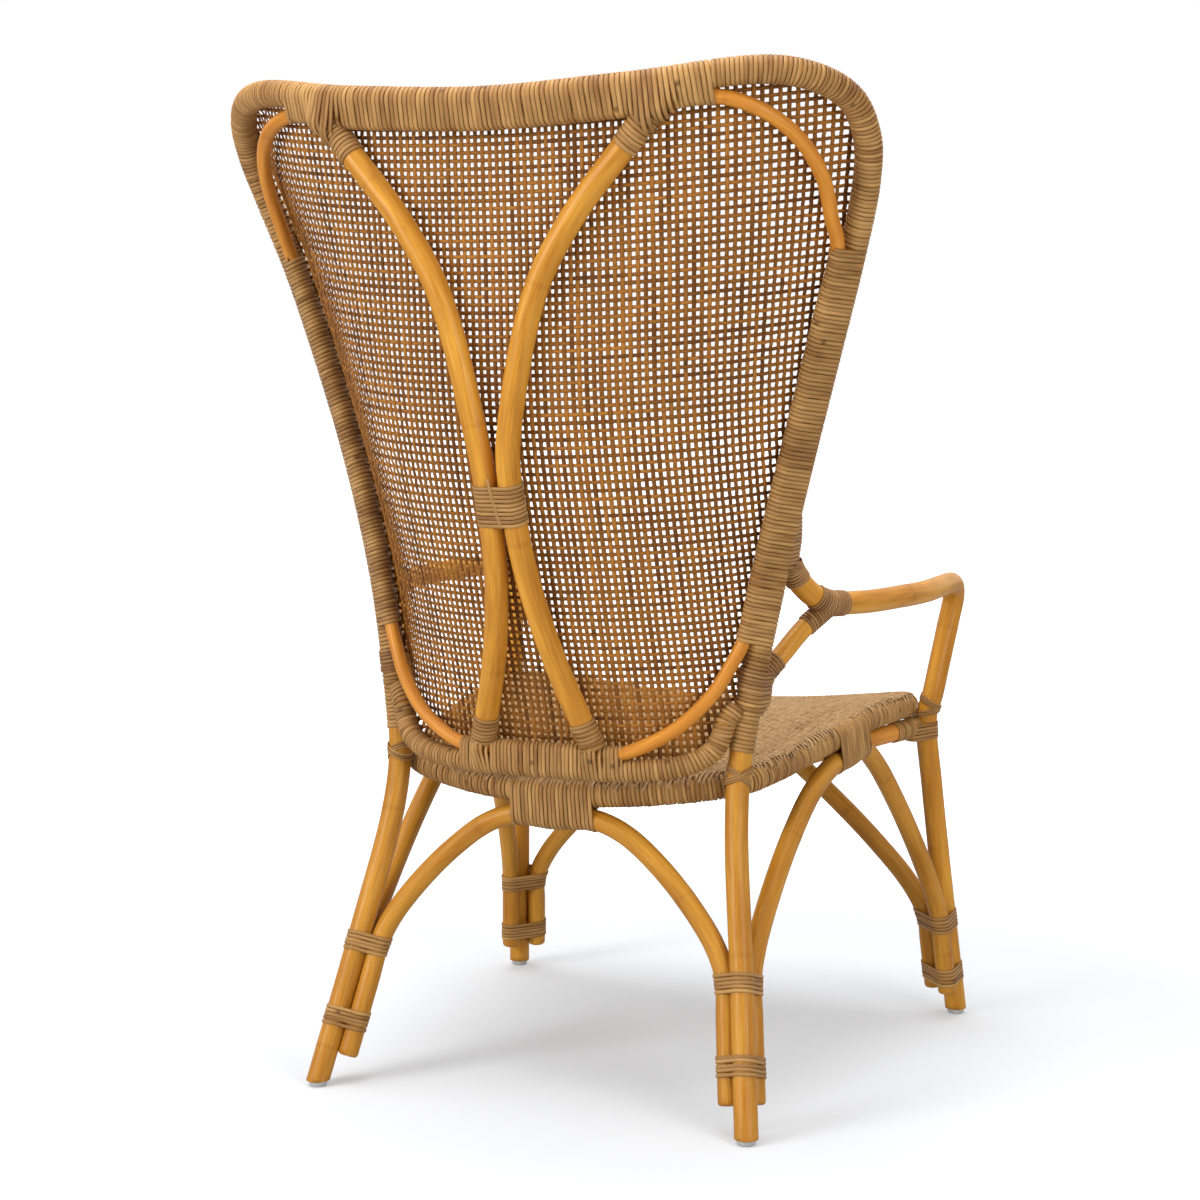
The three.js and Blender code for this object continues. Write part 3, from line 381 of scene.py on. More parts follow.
def back_depth(x, height):
    """How far back the surface of the back lies at a place across and up."""
    share = np.clip((np.asarray(height, float) - BACK_BASE) / (BACK_TOP - BACK_BASE), 0, 1)
    roundness = BACK_ROUNDNESS[0] + (BACK_ROUNDNESS[1] - BACK_ROUNDNESS[0]) * share
    middle = levelled(MIDDLE_DEPTHS, height)
    edge = levelled(POST_DEPTHS, height)
    return middle - (middle - edge) * (np.abs(x) / levelled(BACK_HALF_WIDTHS, height)) ** roundness


def on_back(x, height):
    return np.stack(np.broadcast_arrays(x, back_depth(x, height), height), -1).astype(float)


def back_normal(points):
    """Unit vectors square to the back, pointing to the rear."""
    x, z = points[..., 0], points[..., 2]
    slope_x = (back_depth(x + 1, z) - back_depth(x - 1, z)) / 2
    slope_z = (back_depth(x, z + 1) - back_depth(x, z - 1)) / 2
    return unit(np.stack([-slope_x, np.ones_like(x), -slope_z], -1))


def inside(line, share, distance, sign=1):
    """A point on the back beside a line, towards the middle of the panel."""
    point = line.at(share)
    inward = unit(np.cross(line.along(share), back_normal(point)))
    return point + sign * distance * inward


def both_halves(half, middle):
    """A row of points for the left half, its middle, and the mirrored right half."""
    half = [np.asarray(point, float) for point in half]
    return half + [middle] + [point * MIRROR for point in reversed(half)]


def wrapped(diameter):
    """Radius that the solids keep clear round a wrapped pole."""
    return (diameter / 2 + SLACK + WRAP) / math.cos(math.pi / 8)


def seat_height(x, y):
    share = (np.asarray(y, float) - SEAT_BACK) / (SEAT_FRONT - SEAT_BACK)
    return smoothed(SEAT_HEIGHTS, share) + SEAT_CURL * np.asarray(x, float) ** 2


def on_seat(x, y):
    return np.array((x, y, float(seat_height(x, y))))


class Chair:
    """Centre lines of the chair's poles, worked out from the sizes above."""

    def __init__(self, sizes):
        self.pole, self.hoop_pole, self.rail_pole = sizes.pole / MM, sizes.hoop / MM, sizes.rail / MM
        self.arch_pole, self.brace_pole = sizes.arch / MM, sizes.brace / MM
        self.side_rail_pole = sizes.side_rail / MM
        self.rim_lines()
        self.hoop_lines()
        self.seat_lines()
        self.arm_lines()
        self.arch_lines()

    def rim_lines(self):
        half = [np.array(place, float) for place in REAR_LEG]
        half += [on_back(levelled(BACK_HALF_WIDTHS, height), height) for height in POST_HEIGHTS]
        half += [on_back(*place) for place in RIM_CORNER]
        self.rim = Line(both_halves(half, on_back(0, RIM_MIDDLE)))
        self.shoulder = self.rim.height(SHOULDER_HEIGHT)
        self.rear_leg = self.rim.part(0, self.shoulder)
        self.top_rail = self.rim.part(self.shoulder, 1 - self.shoulder)

    def crest(self, out):
        line = self.top_rail
        return self.shoulder + line.where(0, out) * (1 - 2 * self.shoulder)

    def hoop_lines(self):
        half = [inside(self.rim, self.rim.height(height), beside) for height, beside in RAIL_BESIDE]
        half += [on_back(*place) for place in RAIL_TURN[::-1]]
        half += [on_back(BOTTOM_BUNDLE_HALF, RAIL_HEIGHT)]
        self.rail = Line(both_halves(half, on_back(0, RAIL_HEIGHT)))
        beside = (self.pole + self.hoop_pole) / 2 + BUNDLE_GAP
        above = (self.rail_pole + self.hoop_pole) / 2 + BUNDLE_GAP
        half = [inside(self.rail, self.rail.where(0, out), above, -1)
                for out in np.linspace(0, BOTTOM_BUNDLE_HALF, 4)[1:]]
        half += [on_back(*place) for place in LOWER_BOW]
        low, high = self.rim.heights(*SIDE_BUNDLE)
        half += [inside(self.rim, share, beside) for share in np.linspace(low, high, 7)]
        half += [on_back(*place) for place in UPPER_BOW]
        half += [inside(self.rim, self.crest(out), beside) for out in np.linspace(TOP_BUNDLE_HALF, 0, 4)[:-1]]
        top = inside(self.rim, 0.5, beside)
        bottom = inside(self.rail, 0.5, above, -1)
        self.hoop = Line([bottom] + both_halves(half, top), closed=True)
        offset = (self.pole + SPINE_SPACE) / 2
        self.spine = Line(
            [on_back(*place) for place in SPINE_LOWER]
            + [on_back(offset, WAIST_HEIGHT - self.pole), on_back(offset, WAIST_HEIGHT + self.pole)]
            + [on_back(*place) for place in SPINE_UPPER])

    def arm_lines(self):
        def before_post(height, distance):
            return self.post(height) + unit(POST_FRONT) * distance
        beside = wrapped(self.pole) + self.pole / 2 + FIT
        rows = [np.array(place, float) for place in FRONT_LEG + ARM]
        rows += [before_post(height, beside + nearer) for height, nearer in ARM_END]
        self.front_leg = Line(rows)
        self.arm = self.front_leg.part(self.front_leg.height(ARM_START), 1)
        joint = self.arm.at(self.arm.where(1, BRACE_TOP))
        beside = wrapped(self.pole) + self.brace_pole / 2 + FIT
        self.brace = Line(
            [before_post(BRACE_FOOT, beside), before_post(BRACE_TIE_HEIGHT, beside)]
            + [np.array(place, float) for place in BRACE_RISE] + [joint])

    def post(self, height):
        return self.rim.at(self.rim.height(height))

    def arm_radius(self, line):
        """Radius of the arm's scarfed end, by the shares of a line that rises beside it."""
        places = [line.height(min(height, line.points[:, 2].max())) for height in ARM_TAPER]
        return lambda shares: np.interp(shares, places, (self.pole / 2, self.pole * ARM_TIP))

    def seat_lines(self):
        beside = self.pole / 2 + wrapped(self.pole) + FIT
        front_leg = Line([np.array(place, float) for place in FRONT_LEG])

        def beside_leg(point, side):
            place = point - unit(np.array(side + (0,), float)) * beside
            return on_seat(place[0], place[1])
        half = [on_seat(*SEAT_REAR_SHOULDER), beside_leg(self.post(REAR_LASH_HEIGHT), REAR_LASH_SIDE)]
        half += [on_seat(*place) for place in SEAT_SIDE]
        half += [beside_leg(front_leg.at(front_leg.height(FRONT_LASH_HEIGHT)), FRONT_LASH_SIDE)]
        half += [on_seat(*place) for place in SEAT_CORNER]
        self.ring = Line([on_seat(0, SEAT_BACK)] + both_halves(half, on_seat(0, SEAT_FRONT)), closed=True)

    def arch_lines(self):
        beside = (self.pole + self.arch_pole) / 2 + BUNDLE_GAP
        below = wrapped(self.pole) + self.arch_pole / 2 + BUNDLE_GAP
        ring = self.ring

        def end(leg, leave, direction):
            offset = unit(np.array(direction + (0,), float)) * beside
            return [leg.at(leg.height(height)) + offset for height in np.linspace(ARCH_END, leave, 4)]

        def under(share, tilt):
            point = ring.at(share)
            return point + unit(np.array((tilt * np.sign(point[0]), 0, -1))) * below

        def bend(foot, top, before, shape):
            leave, reach, drop = shape
            start = foot[-1]
            first = start + unit(start - foot[-2]) * leave
            second = top + unit(top - before) * reach - UP * drop
            t = np.linspace(0, 1, 6)[1:, None]
            return list((1 - t) ** 3 * start + 3 * (1 - t) ** 2 * t * first
                        + 3 * (1 - t) * t ** 2 * second + t ** 3 * top)

        def arch(foot_a, foot_b, share, length, tilt, shape_a, shape_b):
            tops = [under(share + side * length / 2 / ring.length, tilt) for side in (-1, 0, 1)]
            return Line(foot_a + bend(foot_a, tops[0], tops[1], shape_a) + [tops[1]]
                        + bend(foot_b, tops[2], tops[1], shape_b)[::-1] + foot_b[::-1])

        rear = end(self.rim, REAR_LEAVE, (-25, -11))
        rear_side = end(self.rim, REAR_LEAVE, (1, -26))
        front = end(self.front_leg, FRONT_LEAVE, (-1, 0))
        front_side = end(self.front_leg, FRONT_LEAVE, (0, 1))
        self.side_share = ring.where(1, SIDE_BAND)
        self.rear_arch = arch([point * MIRROR for point in rear], rear, 0, BAND_LENGTH, 0,
                              REAR_BEND, REAR_BEND)
        self.side_arch = arch(rear_side, front_side, self.side_share, SIDE_BAND_LENGTH, ARCH_TILT,
                              SIDE_REAR_BEND, SIDE_FRONT_BEND)
        self.front_arch = arch(front, [point * MIRROR for point in front], 0.5, BAND_LENGTH, 0,
                               FRONT_BEND, FRONT_BEND)
        rail_start = self.front_leg.at(self.front_leg.height(SIDE_RAIL_HEIGHT)) + np.array(SIDE_RAIL_INSET)
        rail_stop = ring.at(ring.where(0, SIDE_RAIL_REAR))
        self.side_rail = Line([rail_start, (rail_start + rail_stop) / 2, rail_stop], curved=False)


def frame_shift(chair):
    """How far the frame's origin lies in front of the rear feet."""
    low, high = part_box("rear_foot_glide_left")
    return (low[1] + high[1]) / 2 / MM - chair.post(GLIDE_HEIGHT)[1]


def bench(context):
    """The chair's lines, the shift to the frame, the sizes and the finishes."""
    sizes = context.scene.chair_sizes
    chair = Chair(sizes)
    return chair, frame_shift(chair), sizes, context.scene.chair_finishes


# Meshes

def carried(along):
    """Unit vectors square to a line that turn with it as little as they can."""
    vector = np.cross(along[0], BACKWARD if abs(along[0][1]) < 0.9 else UP)
    found = []
    for step in along:
        vector = unit(vector - step * (vector @ step))
        found.append(vector)
    return np.array(found)


def squared(line, shares, reference):
    """Origins, directions and two square unit vectors at shares of a line."""
    along = line.along(shares)
    first = unit(reference - (along @ reference)[:, None] * along)
    return line.at(shares), along, first, np.cross(along, first)


def add_tube(bm, rings, lay_along, lay_across, shift):
    """Adds the skin through rows of points: one closed row for each station."""
    stations, around = rings.shape[:2]
    placed = (np.concatenate([rings, rings[:, :1]], 1) + np.array((0, shift, 0))) * MM
    made = bmesh.ops.create_grid(bm, x_segments=stations - 1, y_segments=around, size=1.0)["verts"]
    layer = bm.loops.layers.uv.verify()
    lay = {}
    for vert in made:
        i = round((vert.co.x + 1) / 2 * (stations - 1))
        j = round((vert.co.y + 1) / 2 * around)
        lay[vert] = (lay_along[i], lay_across[j])
        vert.co = placed[i, j]
    faces = {face for vert in made for face in vert.link_faces}
    for face in faces:
        face.smooth = True
        for loop in face.loops:
            loop[layer].uv = lay[loop.vert]


def close_up(bm):
    """Joins the seams, closes the ends and turns the faces outwards."""
    bmesh.ops.remove_doubles(bm, verts=bm.verts, dist=1e-6)
    ends = [edge for edge in bm.edges if edge.is_boundary]
    if ends:
        made = bmesh.ops.holes_fill(bm, edges=ends, sides=0)["faces"]
        for face in made:
            face.smooth = False
    bmesh.ops.recalc_face_normals(bm, faces=bm.faces)


def keep(name, bm, material, slot, *nodes):
    """Makes a finished piece that stands for the named nodes."""
    close_up(bm)
    mesh = bpy.data.meshes.new(name)
    bm.to_mesh(mesh)
    bm.free()
    if mesh.uv_layers:
        mesh.uv_layers[0].name = LAY
    mesh.materials.append(material)
    piece = bpy.data.objects.new(name, mesh)
    bpy.context.scene.collection.objects.link(piece)
    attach(piece, BODY)
    if nodes:
        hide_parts(*nodes)


def new_mesh():
    bm = bmesh.new()
    bm.loops.layers.uv.new(LAY)
    return bm


# Poles

POLE_AROUND = 24
POLE_STEP = 8.0
END_ROUND = 3.5
JOINT_SPACING = 290.0
JOINT_SWELL = 0.012
JOINT_HALF = 7
# Painted shade: the rear legs and the arches take the honey colours times this share, standing for the shade
# that falls on them.
LEG_PAINTED_SHADE = 0.87
SEED_RUN = 97
SEED_STEP = 1.37


def pole_rings(line, diameter, seed, mirror, taper=None):
    """Rows of points round a pole, with eased ends and faint swellings at the cane's joints."""
    count = int(line.length / POLE_STEP) + 2
    eased = np.array((0, 0.3, 1)) * END_ROUND / line.length
    shares = np.concatenate([eased, np.linspace(0, 1, count)[1:-1], 1 - eased[::-1]])
    shares = np.unique(np.clip(shares, 0, 1))
    radius = np.full(len(shares), diameter / 2)
    for place, short in ((0, END_ROUND * 0.9), (1, END_ROUND * 0.3)):
        radius[place] -= short
        radius[-1 - place] -= short
    distance = shares * line.length + SEED_RUN * seed
    joint = distance % JOINT_SPACING - JOINT_SPACING / 2
    radius *= 1 + JOINT_SWELL * np.exp(-(joint / JOINT_HALF) ** 2)
    if taper is not None:
        radius *= taper(shares)
    along = line.along(shares)
    first = carried(along)
    second = np.cross(along, first)
    angle = np.linspace(0, 2 * math.pi, POLE_AROUND, endpoint=False)
    spokes = first[:, None] * np.cos(angle)[:, None] + second[:, None] * np.sin(angle)[:, None]
    rings = line.at(shares)[:, None] + radius[:, None, None] * spokes
    return rings * mirror, distance * MM, np.linspace(0, 1, POLE_AROUND + 1)


def stand(bm):
    """Cuts a leg flat where it meets its glide."""
    bmesh.ops.bisect_plane(
        bm, geom=bm.verts[:] + bm.edges[:] + bm.faces[:], plane_co=(0, 0, GLIDE_HEIGHT * MM),
        plane_no=(0, 0, 1), clear_inner=True)


def make_pole(name, node, line, diameter, seed, mirror, shift, material, standing=False, taper=None):
    bm = new_mesh()
    rings, lay_along, lay_across = pole_rings(line, diameter, seed, mirror, taper)
    add_tube(bm, rings, lay_along, lay_across, shift)
    if standing:
        bmesh.ops.remove_doubles(bm, verts=bm.verts, dist=1e-6)
        stand(bm)
    keep(name, bm, material, "rattan", node)


# Wound cane

STRIP_SECTION = np.array(((-0.5, -0.1), (-0.43, 0.66), (0.0, 1.0), (0.43, 0.66), (0.5, -0.1)))
STRIP_ACROSS = np.array((0, 0.07, 0.5, 0.93, 1, 0))
STRIP_STRAY = 0.055
STRIP_LIFT = 0.13
CROSSING_STEP = 4
# Distance from a pole's skin to the strip: on bare poles, and on poles that are wound already
CANE_GAP = 0.2
OVER_CANE = 1.9
OVER_POST = 1.8
TIE_FILL = 0.95
HITCH_STEPS = 32
HITCH_ROWS = 3
HITCH_PITCH = 2.9
HITCH_LIFT = 0.8


class Knob:
    """A swelling of a wound bundle over the end of another pole."""

    def __init__(self, point, radius, half):
        self.point, self.radius, self.half = np.asarray(point, float), radius, half


def crossing(line, other, shares, reference):
    """Where another pole passes the planes square to a line, and how much it leans there."""
    origins, along, first, second = squared(line, shares, reference)
    rows = []
    for origin, normal, one, two in zip(origins, along, first, second):
        side = (other.points - origin) @ normal
        at = np.nonzero(side[:-1] * side[1:] <= 0)[0]
        if len(at) == 0:
            at = np.array([np.argmin(np.abs(side[:-1]))])
        part = np.clip(side[at] / (side[at] - side[at + 1] + 1e-9), 0, 1)[:, None]
        found = other.points[at] * (1 - part) + other.points[at + 1] * part - origin
        near = np.argmin(np.linalg.norm(found, axis=1))
        lean = abs(unit(other.points[at[near] + 1] - other.points[at[near]]) @ normal)
        rows.append((found[near] @ one, found[near] @ two, 1 / max(lean, 0.5)))
    return np.array(rows)


def wound(line, span, members, pitch, thickness, reference, steps=24, fill=0.98, seed=0.0, loose=1.0):
    """Rows of points of a flat strip wound round poles between two shares of a line.

    Each member is a knob, or a line with a radius and, if the strip takes it in only there, two shares.
    """
    start, stop = span
    turns = max(1, round((stop - start) * line.length / pitch))
    pitch = (stop - start) * line.length / turns
    count = turns * steps
    shares = np.linspace(start, stop, count + 1)
    turn = np.arange(count + 1) / steps
    angle = (turn + 0.5) * 2 * math.pi
    origins, along, first, second = squared(line, shares, reference)
    facing = np.stack([np.cos(angle), np.sin(angle)], -1)
    best = np.full(count + 1, -np.inf)
    place = np.zeros((count + 1, 2))
    coarse = np.linspace(start, stop, max(3, int((stop - start) * line.length / CROSSING_STEP)))
    for member in members:
        if isinstance(member, Knob):
            offset = member.point - origins
            away = np.clip(np.abs((offset * along).sum(1)) / member.half, 0, 1)
            near = np.linalg.norm(offset, axis=1) < 3 * member.half
            bulge = np.cos(away * math.pi / 2) ** 2 * near
            centre = np.stack([(offset * first).sum(1), (offset * second).sum(1)], -1) * bulge[:, None]
            grown = member.radius * bulge
            reach = (centre * facing).sum(1) + grown
        else:
            other, radius, *held = member
            centre = np.zeros((count + 1, 2))
            grown = radius(shares) if callable(radius) else np.full(count + 1, float(radius))
            if other is not line:
                rows = crossing(line, other, coarse, reference)
                centre = np.stack([np.interp(shares, coarse, rows[:, axis]) for axis in (0, 1)], -1)
                grown = grown * np.interp(shares, coarse, rows[:, 2])
            reach = (centre * facing).sum(1) + grown
            for begin, end in held:
                reach[(shares < begin) | (shares > end)] = -np.inf
        better = reach > best
        place[better] = centre[better] + grown[better, None] * facing[better]
        best = np.maximum(best, reach)
    outward = first * facing[:, :1] + second * facing[:, 1:]
    rng = np.random.default_rng(int(seed * 10) + 1)
    knots = np.arange(0, turn[-1] + 2, 0.5)
    stray = np.interp(turn, knots, rng.normal(0, STRIP_STRAY * loose * pitch, len(knots)))
    lift = np.interp(turn, knots, np.abs(rng.normal(0, STRIP_LIFT * loose, len(knots))))
    base = (origins + first * place[:, :1] + second * place[:, 1:] + along * stray[:, None]
            + outward * lift[:, None])
    rings = (base[:, None] + along[:, None] * (STRIP_SECTION[:, :1] * pitch * fill)
             + outward[:, None] * (STRIP_SECTION[:, 1:] * thickness))
    return rings, run_of(base) * MM + seed, STRIP_ACROSS


def make_wound(name, node, rows, mirror, shift, material, slot="cane_wrap"):
    """Makes a piece of one or more wound strips."""
    bm = new_mesh()
    for rings, lay_along, lay_across in rows:
        add_tube(bm, rings * mirror, lay_along, lay_across, shift)
    keep(name, bm, material, slot, node)


def hitch(line, middle, radius, outward, sweep, part, thickness, seed, lift=0.0):
    """Closed loops of strip that cross a pole's outer face by a sweep and part towards the inner one."""
    found = []
    point = line.at(middle)
    along = line.along(middle)
    out = unit(outward - along * (outward @ along))
    side = np.cross(along, out)
    angle = np.linspace(0, 2 * math.pi, HITCH_STEPS + 1)
    facing = out * np.cos(angle)[:, None] + side * np.sin(angle)[:, None]
    for row in range(HITCH_ROWS):
        rise = (sweep * np.sin(angle) + part * (1 - np.cos(angle)) / 2
                + (row - (HITCH_ROWS - 1) / 2) * HITCH_PITCH)
        base = point + facing * (radius + lift) + along * rise[:, None]
        rings = (base[:, None] + along * (STRIP_SECTION[:, :1] * HITCH_PITCH * TIE_FILL)
                 + facing[:, None] * (STRIP_SECTION[:, 1:] * thickness))
        rings[-1] = rings[0]
        found.append((rings, angle * radius * MM + seed + 3.1 * row, STRIP_ACROSS))
    return found


# Weaves

FLAT_SECTION = np.array(((-0.5, 0.0), (-0.34, 0.5), (0.34, 0.5), (0.5, 0.0), (0.0, -0.5)))
FLAT_ACROSS = np.array((0, 0.14, 0.86, 1, 0.5, 0))
CROSS_LIFT = 0.52
STRIP_DRIFT = 0.04
STRIP_WIDTHS = (0.93, 1.05)
STRIP_SEEDS = (0, 400)


def within(polygon, x, y):
    """True for the points inside a closed outline, by counting crossings."""
    found = np.zeros(x.shape, bool)
    for (x0, y0), (x1, y1) in zip(polygon, np.roll(polygon, -1, 0)):
        if y0 == y1:
            continue
        above = (y0 > y) != (y1 > y)
        found ^= above & (x < (x1 - x0) * (y - y0) / (y1 - y0) + x0)
    return found


def nearest(points, rows):
    """Distance from each point of a grid to the nearest of the rows."""
    flat = points.reshape(-1, points.shape[-1])
    found = np.full(len(flat), np.inf)
    for row in rows:
        found = np.minimum(found, ((flat - row) ** 2).sum(1))
    return np.sqrt(found).reshape(points.shape[:-1])


def runs(mask):
    """Start and stop of each unbroken stretch of a row."""
    edges = np.flatnonzero(np.diff(np.concatenate([[0], mask.astype(int), [0]])))
    return [(a, b) for a, b in zip(edges[::2], edges[1::2]) if b - a > 2]


def add_strip(bm, points, across, normal, rise, width, thickness, seed, shift):
    """Adds one flat strip that rises and falls along its way."""
    base = points + normal * rise[:, None]
    rings = (base[:, None] + across[:, None] * (FLAT_SECTION[:, :1] * width)
             + normal[:, None] * (FLAT_SECTION[:, 1:] * thickness))
    add_tube(bm, rings, run_of(points) * MM + seed, FLAT_ACROSS, shift)


def weave(surface, normal, held, distance, fringe, over, every, widths, thickness, rng, shift):
    """Two meshes of crossing strips on a grid of surface points, first those along rows, then along columns.

    The strips run on past the held points by a chance share of the fringe.
    """
    meshes = []
    rise = (thickness * CROSS_LIFT) * over
    for turn, width in enumerate(widths):
        grid, facing, kept, near, height = surface, normal, held, distance, rise
        if turn:
            grid, facing = surface.transpose(1, 0, 2), normal.transpose(1, 0, 2)
            kept, near, height = held.T, distance.T, -rise.T
        sideways = unit(np.gradient(grid, axis=0))
        bm = new_mesh()
        for row in range(0, len(grid), every):
            drift = rng.normal(0, STRIP_DRIFT * width)
            wide = width * rng.uniform(*STRIP_WIDTHS)
            seed = rng.uniform(*STRIP_SEEDS)
            for begin, end in runs(kept[row] | (near[row] < rng.uniform(*fringe))):
                part = slice(begin, end)
                add_strip(bm, grid[row, part] + sideways[row, part] * drift, sideways[row, part],
                          facing[row, part], height[row, part], wide, thickness, seed, shift)
        meshes.append(bm)
    return meshes


# Finishes

FIBRE_TONES = ((0.55, 0.46, 0.38, 1), (1.2, 1.2, 1.2, 1))
PORE_TONES = ((0.6, 0.5, 0.4, 1), (1.15, 1.15, 1.15, 1))
# Painted shade: the colour that darkens the edges of every strip, standing for the shade in the gaps between
# turns and strips.
GAP_SHADE_TONE = (0.28, 0.18, 0.1, 1)
RING_TONE = (0.6, 0.45, 0.3, 1)
MARK_TONE = 0.42
BUMP_DEPTH = 0.0004


def link(tree, source, target):
    tree.links.new(source, target)


def add_node(tree, kind, values=None, **settings):
    made = tree.nodes.new(kind)
    for key, value in settings.items():
        setattr(made, key, value)
    for key, value in (values or {}).items():
        if isinstance(value, bpy.types.NodeSocket):
            link(tree, value, made.inputs[key])
        else:
            made.inputs[key].default_value = value
    return made


def sums(tree, operation, first, second):
    return add_node(tree, "ShaderNodeMath", {0: first, 1: second}, operation=operation).outputs[0]


def new_group(name, inputs, outputs):
    """A shader node group with its sockets, and the nodes of its inputs and outputs."""
    tree = bpy.data.node_groups.new(name, "ShaderNodeTree")
    for label, default in inputs.items():
        socket = tree.interface.new_socket(label, in_out="INPUT", socket_type="NodeSocketFloat")
        socket.default_value = default
    for label in outputs:
        tree.interface.new_socket(label, in_out="OUTPUT", socket_type="NodeSocketFloat")
    return tree, tree.nodes.new("NodeGroupInput"), tree.nodes.new("NodeGroupOutput")


def lay_of(tree):
    """Distance along a strip or pole, and place across or round it."""
    lay = add_node(tree, "ShaderNodeUVMap", uv_map=LAY)
    parts = add_node(tree, "ShaderNodeSeparateXYZ", {0: lay.outputs[0]})
    return parts.outputs[0], parts.outputs[1]


def streaks(tree, along, across, along_scale, across_scale, detail=3.0):
    vector = add_node(tree, "ShaderNodeCombineXYZ", {
        0: sums(tree, "MULTIPLY", along, along_scale), 1: sums(tree, "MULTIPLY", across, across_scale)})
    noise = add_node(tree, "ShaderNodeTexNoise", {
        "Vector": vector.outputs[0], "Scale": 1.0, "Detail": detail, "Roughness": 0.6}, noise_dimensions="2D")
    return noise.outputs[0]


def spread(tree, value, low, high, first=0.0, last=1.0):
    """Stretches a value so that low becomes the first and high the last."""
    return add_node(tree, "ShaderNodeMapRange", {0: value, 1: low, 2: high, 3: first, 4: last}).outputs[0]


def strand_group():
    """Tone of a strip by its run and turn, its fibres, painted shade along its edges and the marks of the
    cane's joints.
    """
    if "strand" in bpy.data.node_groups:
        return bpy.data.node_groups["strand"]
    tree, given, result = new_group(
        "strand", {"Turn Scale": 13.0, "Run Scale": 0.8, "Fibre Scale": 26.0, "Mark Scale": 0.8},
        ("Tone", "Fibre", "Painted Shade", "Mark"))
    along, across = lay_of(tree)

    def scaled(label):
        return sums(tree, "MULTIPLY", along, given.outputs[label])
    turn, run = (
        add_node(tree, "ShaderNodeTexNoise", {"W": scaled(label), "Scale": 1.0, "Detail": detail},
                 noise_dimensions="1D")
        for label, detail in (("Turn Scale", 2.0), ("Run Scale", 1.0)))
    tone = sums(tree, "ADD", sums(tree, "MULTIPLY", turn.outputs[0], 0.6),
                sums(tree, "MULTIPLY", run.outputs[0], 0.4))
    link(tree, spread(tree, tone, 0.33, 0.66), result.inputs["Tone"])
    fibre = streaks(tree, along, across, given.outputs["Fibre Scale"], 7.0)
    link(tree, spread(tree, fibre, 0.3, 0.7), result.inputs["Fibre"])
    # Painted shade: a mask that is 1 at a strip's edges and 0 over its middle.
    out = sums(tree, "ABSOLUTE", sums(tree, "SUBTRACT", across, 0.5), 0.0)
    link(tree, spread(tree, out, 0.38, 0.5), result.inputs["Painted Shade"])
    marks = add_node(tree, "ShaderNodeTexVoronoi", {"W": scaled("Mark Scale"), "Scale": 1.0},
                     voronoi_dimensions="1D")
    link(tree, spread(tree, marks.outputs["Distance"], 0.0035, 0.0005), result.inputs["Mark"])
    return tree


def pole_group():
    """Long mottled grain of a pole, its fine pores, and the rings of the cane's joints."""
    if "pole_grain" in bpy.data.node_groups:
        return bpy.data.node_groups["pole_grain"]
    tree, given, result = new_group(
        "pole_grain", {"Grain Scale": 7.0, "Pore Scale": 16.0}, ("Grain", "Pore", "Ring"))
    along, across = lay_of(tree)
    wide = streaks(tree, along, across, given.outputs["Grain Scale"], 4.0, 3.0)
    link(tree, spread(tree, wide, 0.25, 0.75), result.inputs["Grain"])
    fine = streaks(tree, along, across, given.outputs["Pore Scale"], 60.0, 2.0)
    link(tree, spread(tree, fine, 0.3, 0.7), result.inputs["Pore"])
    half = JOINT_SPACING * MM / 2
    place = sums(tree, "PINGPONG", sums(tree, "ADD", along, half), half)
    wobble = sums(tree, "MULTIPLY", sums(tree, "SUBTRACT", wide, 0.5), 0.012)
    link(tree, spread(tree, sums(tree, "ADD", place, wobble), 0.004, 0.0005), result.inputs["Ring"])
    return tree


def mixed(tree, blend, factor, first, second):
    made = add_node(tree, "ShaderNodeMix", data_type="RGBA", blend_type=blend)
    for socket, value in ((made.inputs[0], factor), (made.inputs[6], first), (made.inputs[7], second)):
        if isinstance(value, bpy.types.NodeSocket):
            link(tree, value, socket)
        else:
            socket.default_value = value
    return made.outputs[2]


def opaque(colour):
    return (*colour, 1.0)


def new_material(name):
    made = bpy.data.materials.new(name)
    made.use_nodes = True
    tree = made.node_tree
    return made, tree, tree.nodes["Principled BSDF"]


def roughened(tree, shader, value, low, high):
    """Drives a shader's roughness from low to high by a value between 0 and 1."""
    link(tree, spread(tree, value, 0.0, 1.0, low, high), shader.inputs["Roughness"])


def bumped(tree, shader, height, strength):
    """Raises a shader's surface a little where a value is high."""
    bump = add_node(tree, "ShaderNodeBump", {"Strength": strength, "Distance": BUMP_DEPTH, "Height": height})
    link(tree, bump.outputs[0], shader.inputs["Normal"])


# edge is the strength of the painted shade along the strips' edges.
def cane_finish(name, light, dark, roughness=(0.45, 0.62), edge=0.8, gloss=0.22, scales=None):
    """Flat cane: a tone for each turn, fibres along it, painted shade along its edges and a few brown joints.
    """
    if name in bpy.data.materials:
        return bpy.data.materials[name]
    made, tree, shader = new_material(name)
    strand = add_node(tree, "ShaderNodeGroup", scales, node_tree=strand_group()).outputs
    tone = mixed(tree, "MIX", strand["Tone"], opaque(dark), opaque(light))
    fibre = mixed(tree, "MULTIPLY", 0.35, tone, mixed(tree, "MIX", strand["Fibre"], *FIBRE_TONES))
    marked = mixed(tree, "MIX", sums(tree, "MULTIPLY", strand["Mark"], 0.8), fibre,
                   opaque([value * MARK_TONE for value in dark]))
    # Painted shade: the strip's edges are darkened by the edge strength, standing for the shade in the gaps
    # between turns.
    gap_shaded = mixed(tree, "MULTIPLY", sums(tree, "MULTIPLY", strand["Painted Shade"], edge), marked, GAP_SHADE_TONE)
    link(tree, gap_shaded, shader.inputs["Base Color"])
    roughened(tree, shader, strand["Fibre"], *roughness[::-1])
    bumped(tree, shader, strand["Fibre"], 0.25)
    shader.inputs["Specular IOR Level"].default_value = gloss
    return made


